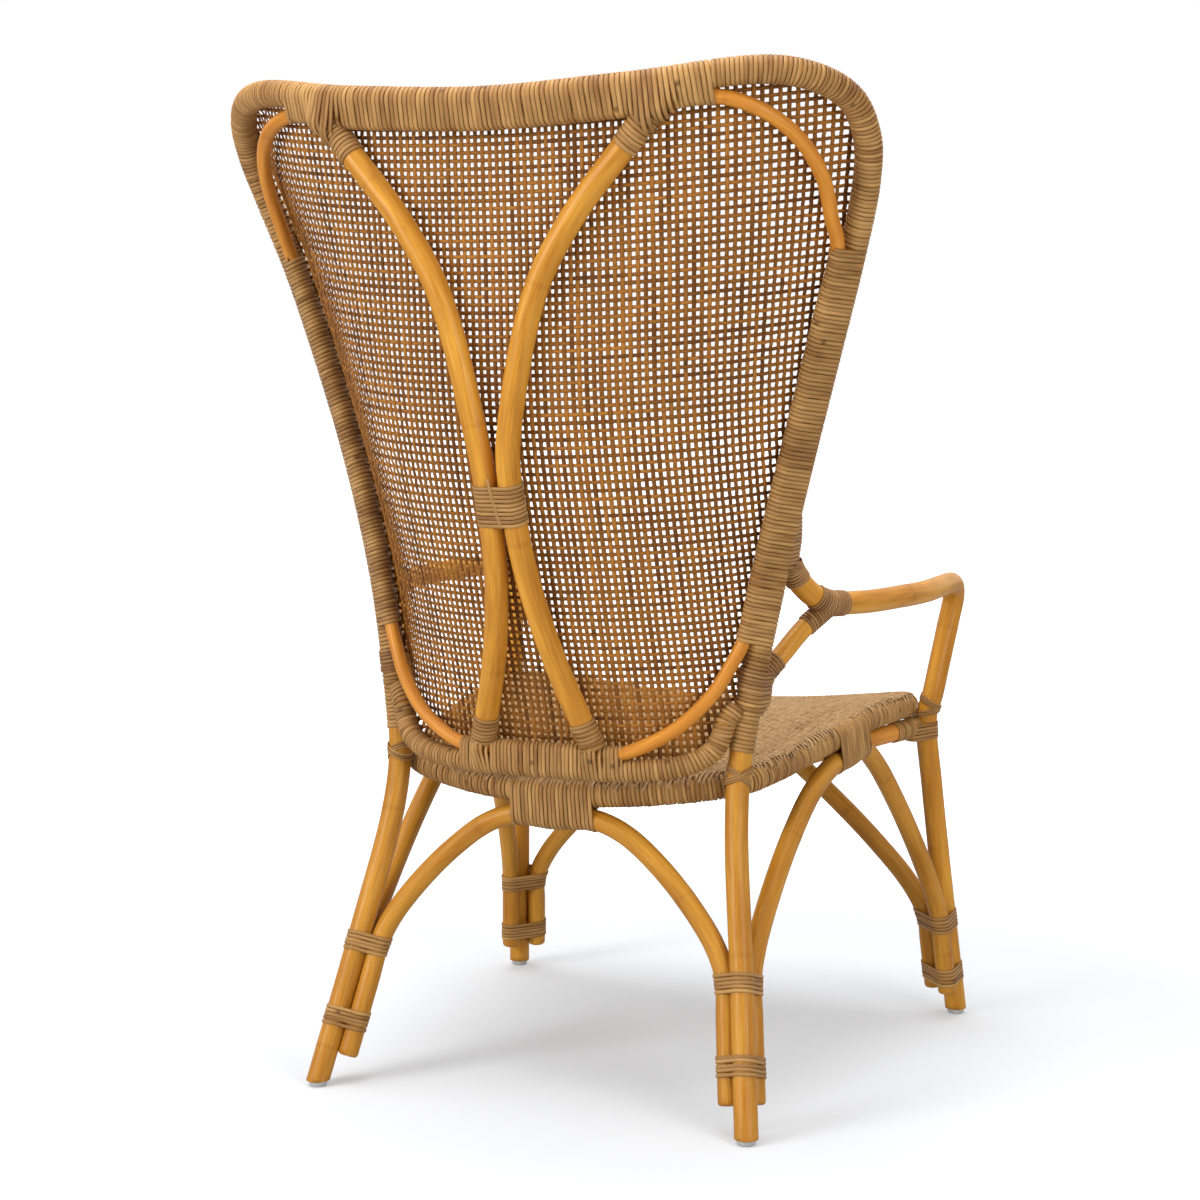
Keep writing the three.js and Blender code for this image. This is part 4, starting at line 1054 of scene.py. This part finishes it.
def pole_finish(name, light, dark):
    """Varnished rattan: long honey grain, fine pores and faint rings at the joints."""
    if name in bpy.data.materials:
        return bpy.data.materials[name]
    made, tree, shader = new_material(name)
    grain = add_node(tree, "ShaderNodeGroup", node_tree=pole_group()).outputs
    tone = mixed(tree, "MIX", grain["Grain"], opaque(dark), opaque(light))
    pores = mixed(tree, "MULTIPLY", 0.42, tone, mixed(tree, "MIX", grain["Pore"], *PORE_TONES))
    ringed = mixed(tree, "MULTIPLY", sums(tree, "MULTIPLY", grain["Ring"], 0.25), pores, RING_TONE)
    link(tree, ringed, shader.inputs["Base Color"])
    roughened(tree, shader, grain["Pore"], 0.44, 0.36)
    bumped(tree, shader, grain["Pore"], 0.08)
    shader.inputs["Specular IOR Level"].default_value = 0.2
    shader.inputs["Coat Weight"].default_value = 0.05
    shader.inputs["Coat Roughness"].default_value = 0.25
    return made


def glide_finish(colour):
    """Cloudy grey plastic."""
    if "cloudy_plastic" in bpy.data.materials:
        return bpy.data.materials["cloudy_plastic"]
    made, tree, shader = new_material("cloudy_plastic")
    place = add_node(tree, "ShaderNodeTexCoord")
    cloud = add_node(tree, "ShaderNodeTexNoise", {
        "Vector": place.outputs["Object"], "Scale": 140.0, "Detail": 3.0}).outputs[0]
    pale = [min(1.0, value * 1.35) for value in colour]
    link(tree, mixed(tree, "MIX", cloud, opaque(colour), opaque(pale)), shader.inputs["Base Color"])
    roughened(tree, shader, cloud, 0.35, 0.5)
    shader.inputs["Subsurface Weight"].default_value = 0.2
    shader.inputs["Subsurface Scale"].default_value = 0.004
    return made


def wound_finish(finishes):
    return cane_finish("wound_cane", finishes.cane_light, finishes.cane_dark)


def binding_finish(finishes):
    return cane_finish("binding_cane", finishes.cane_light, finishes.cane_dark,
                       scales={"Turn Scale": 9.0, "Run Scale": 3.0})


def tie_finish(finishes):
    return cane_finish("tie_cane", finishes.tie_light, finishes.tie_dark, scales={"Turn Scale": 10.0})


# Operators

class CHAIR_OT_poles(bpy.types.Operator):
    """Makes the legs, posts, rails, hoop, spines, arms, braces and arches"""
    bl_idname = "chair.poles"
    bl_label = "Rattan poles"

    def execute(self, context):
        chair, shift, _, finishes = bench(context)
        honey = pole_finish("honey_rattan", finishes.pole_light, finishes.pole_dark)
        # Painted shade: low is a darker copy of the honey finish for the rear legs and the arches, standing
        # for the shade that falls on them.
        low = pole_finish("leg_rattan", *([value * LEG_PAINTED_SHADE for value in tone]
                                          for tone in (finishes.pole_light, finishes.pole_dark)))
        warm = pole_finish("warm_rattan", finishes.hoop_light, finishes.hoop_dark)
        paired = (
            ("rear_leg", chair.rear_leg, chair.pole, low, True),
            ("front_leg", chair.front_leg, chair.pole, honey, True),
            ("spine", chair.spine, chair.pole, honey, False),
            ("side_rail", chair.side_rail, chair.side_rail_pole, warm, False),
            ("arm_brace", chair.brace, chair.brace_pole, honey, False),
            ("side_arch", chair.side_arch, chair.arch_pole, low, False),
        )
        single = (
            ("top_rail", chair.top_rail, chair.pole, honey),
            ("inner_hoop", chair.hoop, chair.hoop_pole, warm),
            ("bottom_rail", chair.rail, chair.rail_pole, honey),
            ("seat_ring", chair.ring, chair.pole, honey),
            ("rear_arch", chair.rear_arch, chair.arch_pole, low),
            ("front_arch", chair.front_arch, chair.arch_pole, low),
        )
        seed = 1.0
        thin = chair.arm_radius(chair.front_leg)
        for node, line, diameter, material, standing in paired:
            taper = (lambda shares: thin(shares) * 2 / chair.pole) if node == "front_leg" else None
            for side, mirror in SIDES:
                make_pole(f"pole_{node}_{side}", f"{node}_{side}", line, diameter, seed, mirror, shift,
                          material, standing, taper)
                seed += SEED_STEP
        for node, line, diameter, material in single:
            make_pole(f"pole_{node}", node, line, diameter, seed, np.ones(3), shift, material)
            seed += SEED_STEP
        return {"FINISHED"}


class CHAIR_OT_wraps(bpy.types.Operator):
    """Winds the cane on the rim, the bottom rail and the seat ring"""
    bl_idname = "chair.wraps"
    bl_label = "Wound rim and rails"

    def execute(self, context):
        chair, shift, sizes, finishes = bench(context)
        pitch, thick = sizes.turn / MM, sizes.cane / MM
        material = wound_finish(finishes)
        rim, rail, ring, hoop, spine = chair.rim, chair.rail, chair.ring, chair.hoop, chair.spine
        pole, slim = chair.pole / 2 + CANE_GAP, chair.hoop_pole / 2 + CANE_GAP
        top = chair.crest(TOP_BUNDLE_HALF)
        low, high = rim.heights(*ARM_HELD)
        members = self.post_members(chair)
        spans = ((rim.height(POST_WRAP_START), low), (low, high), (high, top))
        for number, (side, mirror) in enumerate(SIDES):
            rows = [wound(rim, span, members, pitch, thick, BACKWARD, seed=40.0 * number + 9 * part)
                    for part, span in enumerate(spans)]
            make_wound(f"cane_post_{side}", f"post_wrap_{side}", rows[::2], mirror, shift, material)
            make_wound(f"cane_arm_post_{side}", f"arm_post_wrap_{side}", rows[1:2], mirror, shift, material,
                       "dark_cane")
        ends = [Knob((spine.at(1 - back / spine.length) + SPINE_END * share) * mirror, radius, half)
                for back, share, radius, half in SPINE_KNOBS for _, mirror in SIDES]
        rows = wound(rim, (top, 1 - top), [(rim, pole), (hoop, slim)] + ends, sizes.top_turn / MM, thick,
                     BACKWARD, 28, seed=90.0)
        make_wound("cane_top_rail", "top_rail_wrap", [rows], np.ones(3), shift, material)
        share = rail.where(0, BOTTOM_BUNDLE_HALF)
        feet = [Knob((spine.at(0.0) - UP * SPINE_FOOT_DROP) * mirror, *SPINE_FOOT_KNOB)
                for _, mirror in SIDES]
        members = [(rail, chair.rail_pole / 2 + CANE_GAP), (hoop, slim, (share, 1 - share))] + feet
        rows = wound(rail, (0, 1), members, pitch, thick, BACKWARD, 28, seed=130.0)
        make_wound("cane_bottom_rail", "bottom_rail_wrap", [rows], np.ones(3), shift, material)
        rows = wound(ring, RING_SPAN, [(ring, pole)], pitch, thick, UP, seed=170.0, loose=2.0)
        make_wound("cane_seat_ring", "seat_ring_wrap", [rows], np.ones(3), shift, material)
        return {"FINISHED"}

    @staticmethod
    def post_members(chair):
        """What the winding of a post takes in: the post, the hoop, the arm's end and the brace's foot."""
        rim = chair.rim
        brace = chair.brace_pole / 2 + CANE_GAP
        return [
            (rim, chair.pole / 2 + CANE_GAP),
            (chair.hoop, chair.hoop_pole / 2 + CANE_GAP, rim.heights(*SIDE_BUNDLE)),
            (chair.arm, chair.arm_radius(rim), rim.heights(ARM_HELD[0], ARM_END[-1][0])),
            Knob(chair.arm.at(1.0), chair.pole * ARM_KNOB[0], ARM_KNOB[1]),
            (chair.brace, brace, rim.heights(BRACE_FOOT, BRACE_TIE_HEIGHT - BRACE_BELOW_TIE)),
            Knob(chair.brace.at(0.0), brace, BRACE_KNOB)]


class CHAIR_OT_bindings(bpy.types.Operator):
    """Winds the bindings on the legs and the waist, and the bands of the arches"""
    bl_idname = "chair.bindings"
    bl_label = "Bindings and bands"

    def execute(self, context):
        chair, shift, sizes, finishes = bench(context)
        pitch, thick = sizes.turn / MM, sizes.cane / MM * BINDING_THIN
        bind = binding_finish(finishes)
        wrap = wound_finish(finishes)
        pole, arch = chair.pole / 2 + CANE_GAP, chair.arch_pole / 2 + CANE_GAP
        seed = 220.0
        legs = (("rear_leg", chair.rear_leg, chair.rear_arch, REAR_BINDINGS),
                ("front_leg", chair.front_leg, chair.front_arch, FRONT_BINDINGS))
        for leg, line, across, heights in legs:
            for level, height in heights.items():
                middle = line.height(height)
                half = BINDING_TURNS / 2 * pitch / line.length
                members = [(line, pole), (across, arch), (chair.side_arch, arch)]
                for side, mirror in SIDES:
                    rows = wound(line, (middle - half, middle + half), members, pitch, thick, BACKWARD, 40,
                                 BINDING_FILL, seed, BINDING_LOOSE)
                    seed += 3.7
                    node = f"{leg}_binding_{level}_{side}"
                    make_wound(f"cane_{node}", node, [rows], mirror, shift, bind)
        waist = Line([on_back(0, WAIST_HEIGHT + rise) for rise in (-40, 0, 40)])
        members = [(chair.spine, pole), (chair.spine.mirrored(), pole)]
        half = WAIST_HALF / waist.length
        rows = wound(waist, (0.5 - half, 0.5 + half), members, pitch, thick, BACKWARD, 40, WAIST_FILL, seed,
                     BINDING_LOOSE)
        tie_line = Line([on_back(x, WAIST_HEIGHT + rise) + np.array((0, pole + thick, 0))
                         for x, rise in WAIST_STRAND])
        strand = self.strand(tie_line, thick, seed + 5)
        make_wound("cane_waist", "waist_binding", [rows, strand], np.ones(3), shift, bind)
        ring = chair.ring
        bands = (("rear_arch_band", 0.0, BAND_LENGTH, chair.rear_arch, SIDES[:1]),
                 ("front_arch_band", 0.5, BAND_LENGTH, chair.front_arch, SIDES[:1]),
                 ("side_arch_band", chair.side_share, SIDE_BAND_LENGTH, chair.side_arch, SIDES))
        for node, middle, length, line, sides in bands:
            half = length / 2 / ring.length
            for side, mirror in sides:
                members = [(ring, chair.pole / 2 + OVER_CANE), (line, arch)]
                rows = wound(ring, (middle - half, middle + half), members, pitch, sizes.cane / MM, UP, 36,
                             seed=seed)
                seed += 7.3
                name = node if len(sides) == 1 else f"{node}_{side}"
                make_wound(f"cane_{name}", name, [rows], mirror, shift, wrap)
        return {"FINISHED"}

    @staticmethod
    def strand(line, thick, seed):
        """The upright strand that draws the waist's turns together."""
        shares = np.linspace(0, 1, 30)
        origins, _, first, second = squared(line, shares, BACKWARD)
        rings = (origins[:, None] + second[:, None] * (STRIP_SECTION[:, :1] * STRAND_WIDTH)
                 + first[:, None] * (STRIP_SECTION[:, 1:] * thick))
        return rings, shares * line.length * MM + seed, STRIP_ACROSS


class CHAIR_OT_ties(bpy.types.Operator):
    """Winds the ties of the arms, braces, spines and legs"""
    bl_idname = "chair.ties"
    bl_label = "Ties and lashings"

    def execute(self, context):
        chair, shift, sizes, finishes = bench(context)
        pitch, thick = sizes.tie_turn / MM, sizes.cane / MM * TIE_THIN
        tie = tie_finish(finishes)
        wrap = wound_finish(finishes)
        rim, arm, brace, spine = chair.rim, chair.arm, chair.brace, chair.spine
        pole, slim = chair.pole / 2 + CANE_GAP, chair.brace_pole / 2 + CANE_GAP

        def sleeve(line, start, stop, radius, reference, seed):
            return wound(line, (start, stop), [(line, radius)], pitch, thick, reference, 24, TIE_FILL, seed)
        seed = 300.0
        for side, mirror in SIDES:
            end = arm.height(ARM_HELD[0] + ARM_WRAP_RISE)
            rows = sleeve(arm, end - ARM_WRAP / arm.length, end, pole, BACKWARD, seed)
            make_wound(f"cane_arm_end_{side}", f"arm_post_wrap_{side}", [rows], mirror, shift, tie,
                       "dark_cane")
            middle = rim.height(BRACE_TIE_HEIGHT)
            half = BRACE_TIE_HALF / rim.length
            members = [(rim, chair.pole / 2 + OVER_POST), (brace, slim)]
            on_post = wound(rim, (middle - half, middle + half), members, BRACE_TIE_PITCH, thick, BACKWARD,
                            36, TIE_FILL, seed + 9)
            start = brace.height(BRACE_TIE_HEIGHT + BRACE_WRAP_RISE)
            on_brace = sleeve(brace, start, start + BRACE_WRAP / brace.length, slim, BACKWARD, seed + 13)
            make_wound(f"cane_brace_{side}", f"brace_wrap_{side}", [on_post, on_brace], mirror, shift, tie)
            middle = arm.where(1, BRACE_TOP)
            half = ARM_JOINT[0] / 2 / arm.length
            on_arm = sleeve(arm, middle - half, middle + half * 1.5, pole, UP, seed + 17)
            on_brace = sleeve(brace, 1 - ARM_JOINT[1] / brace.length, 1, slim, UP, seed + 23)
            make_wound(f"cane_arm_joint_{side}", f"arm_joint_wrap_{side}", [on_arm, on_brace], mirror, shift,
                       tie)
            spans = (("spine_top_wrap", (1 - SPINE_WRAPS["top"] / spine.length, 1)),
                     ("spine_foot_wrap", (0, SPINE_WRAPS["foot"] / spine.length)))
            for node, span in spans:
                rows = wound(spine, span, [(spine, pole)], sizes.turn / MM, thick, BACKWARD, 24, TIE_FILL,
                             seed + 31, BINDING_LOOSE)
                make_wound(f"cane_{node}_{side}", f"{node}_{side}", [rows], mirror, shift, wrap)
                seed += 4
            self.lashings(chair, side, mirror, shift, binding_finish(finishes), thick, seed + 41)
            seed += 60
        return {"FINISHED"}

    @staticmethod
    def ring_loop(chair, point, thick, seed):
        """The upright turns round the ring beside a leg."""
        ring = chair.ring
        shares = np.linspace(0, 1, 1200)
        middle = shares[np.argmin(np.linalg.norm(ring.at(shares) - point, axis=1))]
        half = LOOP_HALF / ring.length
        return wound(ring, (middle - half, middle + half), [(ring, chair.pole / 2 + LOOP_CLEAR)], LOOP_PITCH,
                     thick, UP, 32, TIE_FILL, seed)

    def lashings(self, chair, side, mirror, shift, material, thick, seed):
        """The crossed loops where the legs meet the ring, and the band that holds the side rail."""
        pole = chair.pole / 2 + CANE_GAP
        joints = (
            ("rear_leg_lash", chair.rear_leg, REAR_LASH_HEIGHT, REAR_LASH_SIDE, 8.0, (0.0, 0.0)),
            ("front_leg_lash", chair.front_leg, FRONT_LASH_HEIGHT, FRONT_LASH_SIDE, 0.0, (7.5, -17.0)))
        for node, line, height, facing, sweep, part in joints:
            middle = line.height(height)
            outward = np.array(facing + (0,))
            rows = hitch(line, middle, pole, outward, sweep, part[0], thick, seed)
            rows += hitch(line, middle, pole, outward, -sweep, part[1], thick, seed + 11, HITCH_LIFT)
            if any(part):
                rows.append(self.ring_loop(chair, line.at(middle), thick, seed + 17))
            make_wound(f"cane_{node}_{side}", f"{node}_{side}", rows, mirror, shift, material)
        line, rail = chair.front_leg, chair.side_rail
        middle = line.height(RAIL_LASH_HEIGHT)
        half = RAIL_LASH_HALF / line.length
        knob = Knob(rail.at(RAIL_KNOB[0] / rail.length), chair.side_rail_pole / 2 + OVER_CANE, RAIL_KNOB[1])
        on_leg = wound(line, (middle - half, middle + half), [(line, pole), knob], RAIL_LASH_PITCH, thick,
                       BACKWARD, 36, TIE_FILL, seed + 23)
        start, stop = (distance / rail.length for distance in RAIL_WRAP)
        on_rail = wound(rail, (start, stop), [(rail, chair.side_rail_pole / 2 + CANE_GAP)], RAIL_WRAP_PITCH,
                        thick, UP, 24, TIE_FILL, seed + 29)
        make_wound(f"cane_rail_lash_{side}", f"rail_lash_{side}", [on_leg, on_rail], mirror, shift, material)


class CHAIR_OT_web(bpy.types.Operator):
    """Weaves the open cane back"""
    bl_idname = "chair.web"
    bl_label = "Woven back"

    def execute(self, context):
        chair, shift, sizes, finishes = bench(context)
        across, up = sizes.web_across / MM / 2, sizes.web_up / MM / 2
        # The web's strips get painted shade of strength 0.5 along their edges.
        material = cane_finish("web_cane", finishes.web_light, finishes.web_dark, (0.5, 0.65), 0.5, 0.12,
                               {"Turn Scale": 3.0, "Run Scale": 6.0, "Mark Scale": 0.3})
        surface = self.net(across, up)
        normal = back_normal(surface)
        rim = chair.rim.part(chair.rim.height(RAIL_END), 1 - chair.rim.height(RAIL_END)).points
        edge = np.vstack([rim[::4], chair.rail.points[::-1][::4]])
        held = within(edge[:, (0, 2)], surface[..., 0], surface[..., 2])
        distance = nearest(surface, edge)
        ease = np.where(held, np.clip(distance / WEB_EASE, 0, 1), 0)
        depth = WEB_DEPTHS[0] + WEB_DEPTHS[1] * ease * ease * (3 - 2 * ease)
        surface = surface - normal * depth[..., None]
        rows, columns = np.indices(held.shape)
        crossings = (rows % 2 == 0) & (columns % 2 == 0)
        over = np.where(crossings, np.where((rows + columns) % 4 == 0, 1.0, -1.0), 0.0)
        strip = sizes.web_strip / MM
        meshes = weave(surface, normal, held, distance, WEB_FRINGE, over, 2, (strip * WEFT_SHARE, strip),
                       WEB_THICKNESS, np.random.default_rng(5), shift)
        keep("web_weft", meshes[0], material, "back_cane", "back_web")
        keep("web_warp", meshes[1], material, "back_cane", "back_web")
        return {"FINISHED"}

    @staticmethod
    def net(across, up):
        """Points of a net on the back: its columns part towards the wings, and its rows rise to them."""
        columns = np.arange(NET_COLUMNS) * across
        reach = columns * (1 + NET_FAN * (columns / NET_REACH) ** 2)
        heights = [NET_LEVEL]
        for way in (-1, 1):
            end = 0 if way < 0 else -1
            while BACK_BASE - NET_MARGIN < heights[end] < BACK_TOP + NET_MARGIN:
                here = heights[end]
                lean = np.hypot(1, back_depth(0.0, here + 1) - back_depth(0.0, here))
                loose = NET_LOOSE * np.exp(-((here - NET_LOOSE_HEIGHT) / NET_LOOSE_HALF) ** 2)
                heights.insert(0 if way < 0 else len(heights), here + way * up * (1 + loose) / lean)
        x = np.arange(0, NET_HALF)
        rows = []
        for height in heights:
            rise = np.zeros_like(x)
            for _ in range(2):
                points = on_back(x, height + rise)
                gone = run_of(points)
                rise = NET_RISE * gone ** 2 / (2 * NET_REACH)
            out = np.interp(reach, gone, x)
            rows.append(on_back(out, height + np.interp(out, x, rise)))
        half = np.array(rows)
        return np.concatenate([half[:, :0:-1] * MIRROR, half], 1)


class CHAIR_OT_deck(bpy.types.Operator):
    """Weaves the close cane seat"""
    bl_idname = "chair.deck"
    bl_label = "Woven seat"

    def execute(self, context):
        chair, shift, sizes, finishes = bench(context)
        pitch = sizes.deck_pitch / MM
        # The seat's strips get painted shade of strength 0.7 along their edges.
        material = cane_finish("woven_seat", finishes.deck_light, finishes.deck_dark, (0.75, 0.9), 0.7, 0.03,
                               {"Turn Scale": 40.0, "Run Scale": 3.0, "Mark Scale": 0.2})
        x = np.arange(-DECK_HALF, DECK_HALF + 1) * pitch
        y = np.arange(SEAT_FRONT - DECK_MARGIN, SEAT_BACK + DECK_MARGIN, pitch)
        grid_y, grid_x = np.meshgrid(y, x, indexing="ij")
        flat = np.stack([grid_x, grid_y], -1)
        ring = chair.ring.points[::6, :2]
        held = within(ring, grid_x, grid_y)
        distance = nearest(flat, ring)
        overhang = np.where(held, 0.0, distance)
        radius = chair.pole / 2 + CANE_GAP + sizes.cane / MM + DECK_GAP
        lift = np.sqrt(np.maximum(radius ** 2 - overhang ** 2, 0))
        surface = np.dstack([grid_x, grid_y, seat_height(grid_x, grid_y) + lift])
        slope_y, slope_x = np.gradient(surface[..., 2], pitch)
        normal = unit(np.dstack([-slope_x, -slope_y, np.ones_like(slope_x)]))
        rows, columns = np.indices(held.shape)
        over = np.where((rows + columns) % 4 == 0, 1.0, -1.0)
        widths = [pitch * share for share in DECK_SHARES]
        meshes = weave(surface, normal, held, distance, DECK_FRINGE, over, 1, widths, DECK_THICKNESS,
                       np.random.default_rng(9), shift)
        keep("deck_weft", meshes[0], material, "seat_cane", "seat_deck")
        keep("deck_warp", meshes[1], material, "seat_cane", "seat_deck")
        self.edge(chair, radius, shift, material)
        return {"FINISHED"}

    @staticmethod
    def edge(chair, radius, shift, material):
        """Short slanted strips where the seat's cane turns over the ring."""
        rng = np.random.default_rng(12)
        bm = new_mesh()
        ring = chair.ring
        for share in np.arange(0.002, 0.998, EDGE_PITCH / ring.length):
            turn = np.linspace(rng.uniform(*EDGE_STARTS), rng.uniform(*EDGE_STOPS), EDGE_STEPS)
            slant = rng.uniform(*EDGE_SLANTS)
            shares = share + turn * slant / ring.length
            origins, along, first, second = squared(ring, shares, UP)
            angle = np.radians(turn)[:, None]
            outward = first * np.cos(angle) - second * np.sin(angle)
            dive = np.clip(4 * np.linspace(-1, 1, EDGE_STEPS) ** 6, 0, EDGE_DIVE)
            base = origins + outward * (radius + DECK_GAP - dive)[:, None]
            add_strip(bm, base, along, outward, np.zeros(EDGE_STEPS), rng.uniform(*EDGE_WIDTHS),
                      DECK_THICKNESS, rng.uniform(*STRIP_SEEDS), shift)
        keep("deck_edge", bm, material, "seat_cane", "seat_deck")


class CHAIR_OT_glides(bpy.types.Operator):
    """Makes the plastic glides under the legs"""
    bl_idname = "chair.glides"
    bl_label = "Glides"

    def execute(self, context):
        material = glide_finish(context.scene.chair_finishes.glide)
        for place in ("rear", "front"):
            for side, _ in SIDES:
                node = f"{place}_foot_glide_{side}"
                low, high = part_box(node)
                size = high - low
                bm = new_mesh()
                foot, top = (size.x * share for share in GLIDE_SHARES)
                made = bmesh.ops.create_cone(bm, cap_ends=True, segments=GLIDE_AROUND, radius1=foot,
                                             radius2=top, depth=size.z)["verts"]
                bmesh.ops.translate(bm, verts=made, vec=(low + high) / 2)
                rims = [edge for edge in bm.edges if abs(edge.verts[0].co.z - edge.verts[1].co.z) < 1e-6]
                bmesh.ops.bevel(bm, geom=rims, offset=GLIDE_BEVEL * MM, offset_type="OFFSET", affect="EDGES",
                                segments=3, profile=0.5, material=-1)
                for face in bm.faces:
                    face.smooth = len(face.verts) < 5
                keep(f"plastic_{node}", bm, material, "glide_plastic", node)
        return {"FINISHED"}


class CHAIR_OT_stage(bpy.types.Operator):
    """Sets the floor, the soft studio light and the camera"""
    bl_idname = "chair.stage"
    bl_label = "Stage"

    def execute(self, context):
        scene = context.scene
        scene.view_settings.view_transform = "Standard"
        self.floor(scene)
        self.world(scene)
        for lamp in LAMPS:
            self.lamp(scene, *lamp)
        shift = frame_shift(Chair(scene.chair_sizes))
        data = bpy.data.cameras.new("photo_camera")
        data.sensor_width = SENSOR
        data.lens = CAMERA_LENS
        camera = bpy.data.objects.new("photo_camera", data)
        x, y, z = CAMERA_PLACE
        camera.location = (x * MM, (y + shift) * MM, z * MM)
        camera.rotation_euler = [math.radians(angle) for angle in CAMERA_TURN]
        scene.collection.objects.link(camera)
        scene.camera = camera
        return {"FINISHED"}

    @staticmethod
    def floor(scene):
        """A pale floor that shows white where no shadow falls."""
        bm = bmesh.new()
        bmesh.ops.create_grid(bm, x_segments=1, y_segments=1, size=FLOOR_SIZE)
        mesh = bpy.data.meshes.new("floor")
        bm.to_mesh(mesh)
        bm.free()
        made, tree, shader = new_material("pale_floor")
        shader.inputs["Base Color"].default_value = FLOOR_TINT
        shader.inputs["Roughness"].default_value = 0.9
        shader.inputs["Specular IOR Level"].default_value = 0.0
        seen = add_node(tree, "ShaderNodeLightPath")
        place = add_node(tree, "ShaderNodeTexCoord")
        away = add_node(tree, "ShaderNodeVectorMath", {0: place.outputs["Object"]}, operation="LENGTH")
        far = add_node(tree, "ShaderNodeMapRange", {
            0: away.outputs["Value"], **dict(enumerate(FLOOR_FADE, 1))}, interpolation_type="SMOOTHSTEP")
        glow = add_node(tree, "ShaderNodeEmission", {"Color": (1, 1, 1, 1)})
        strength = sums(tree, "MULTIPLY", seen.outputs["Is Camera Ray"], far.outputs[0])
        link(tree, strength, glow.inputs["Strength"])
        both = add_node(tree, "ShaderNodeAddShader", {0: shader.outputs[0], 1: glow.outputs[0]})
        link(tree, both.outputs[0], tree.nodes["Material Output"].inputs["Surface"])
        mesh.materials.append(made)
        floor = bpy.data.objects.new("floor", mesh)
        scene.collection.objects.link(floor)

    @staticmethod
    def world(scene):
        """Soft light from all round, and a white background."""
        world = bpy.data.worlds.new("studio")
        world.use_nodes = True
        tree = world.node_tree
        back = tree.nodes["Background"]
        seen = add_node(tree, "ShaderNodeLightPath")
        share = sums(tree, "MAXIMUM", seen.outputs["Is Camera Ray"], sums(
            tree, "MAXIMUM", seen.outputs["Is Glossy Ray"], seen.outputs["Is Transmission Ray"]))
        back.inputs["Color"].default_value = (1, 1, 1, 1)
        link(tree, spread(tree, share, 0.0, 1.0, *SKY_LIGHT), back.inputs["Strength"])
        scene.world = world

    @staticmethod
    def lamp(scene, name, place, target, size, power):
        """A round soft lamp at a place, turned to a target."""
        data = bpy.data.lights.new(name, "AREA")
        data.shape = "DISK"
        data.size = size
        data.energy = power
        lamp = bpy.data.objects.new(name, data)
        lamp.location = place
        way = np.array(target, float) - np.array(place, float)
        flat = math.hypot(way[0], way[1])
        lamp.rotation_euler = (math.atan2(flat, -way[2]), 0.0, math.atan2(way[0], -way[1]) + math.pi)
        scene.collection.objects.link(lamp)


class CHAIR_PT_panel(bpy.types.Panel):
    """Lists the chair's steps"""
    bl_idname = "CHAIR_PT_panel"
    bl_label = "Rattan chair"
    bl_space_type = "VIEW_3D"
    bl_region_type = "UI"
    bl_category = "Chair"

    def draw(self, context):
        for group in (context.scene.chair_sizes, context.scene.chair_finishes):
            box = self.layout.box()
            for key in group.bl_rna.properties.keys():
                if key not in ("rna_type", "name"):
                    box.prop(group, key)
        for operator in OPERATORS:
            self.layout.operator(operator.bl_idname)


OPERATORS = (CHAIR_OT_poles, CHAIR_OT_wraps, CHAIR_OT_bindings, CHAIR_OT_ties, CHAIR_OT_web, CHAIR_OT_deck,
             CHAIR_OT_glides, CHAIR_OT_stage)
CLASSES = (ChairSizes, ChairFinishes, *OPERATORS, CHAIR_PT_panel)


def register():
    for part in CLASSES:
        bpy.utils.register_class(part)
    bpy.types.Scene.chair_sizes = bpy.props.PointerProperty(type=ChairSizes)
    bpy.types.Scene.chair_finishes = bpy.props.PointerProperty(type=ChairFinishes)


def unregister():
    del bpy.types.Scene.chair_finishes
    del bpy.types.Scene.chair_sizes
    for part in reversed(CLASSES):
        bpy.utils.unregister_class(part)


def main():
    register()
    bpy.ops.chair.poles()
    bpy.ops.chair.wraps()
    bpy.ops.chair.bindings()
    bpy.ops.chair.ties()
    bpy.ops.chair.web()
    bpy.ops.chair.deck()
    bpy.ops.chair.glides()
    bpy.ops.chair.stage()


if __name__ == "__main__":
    main()
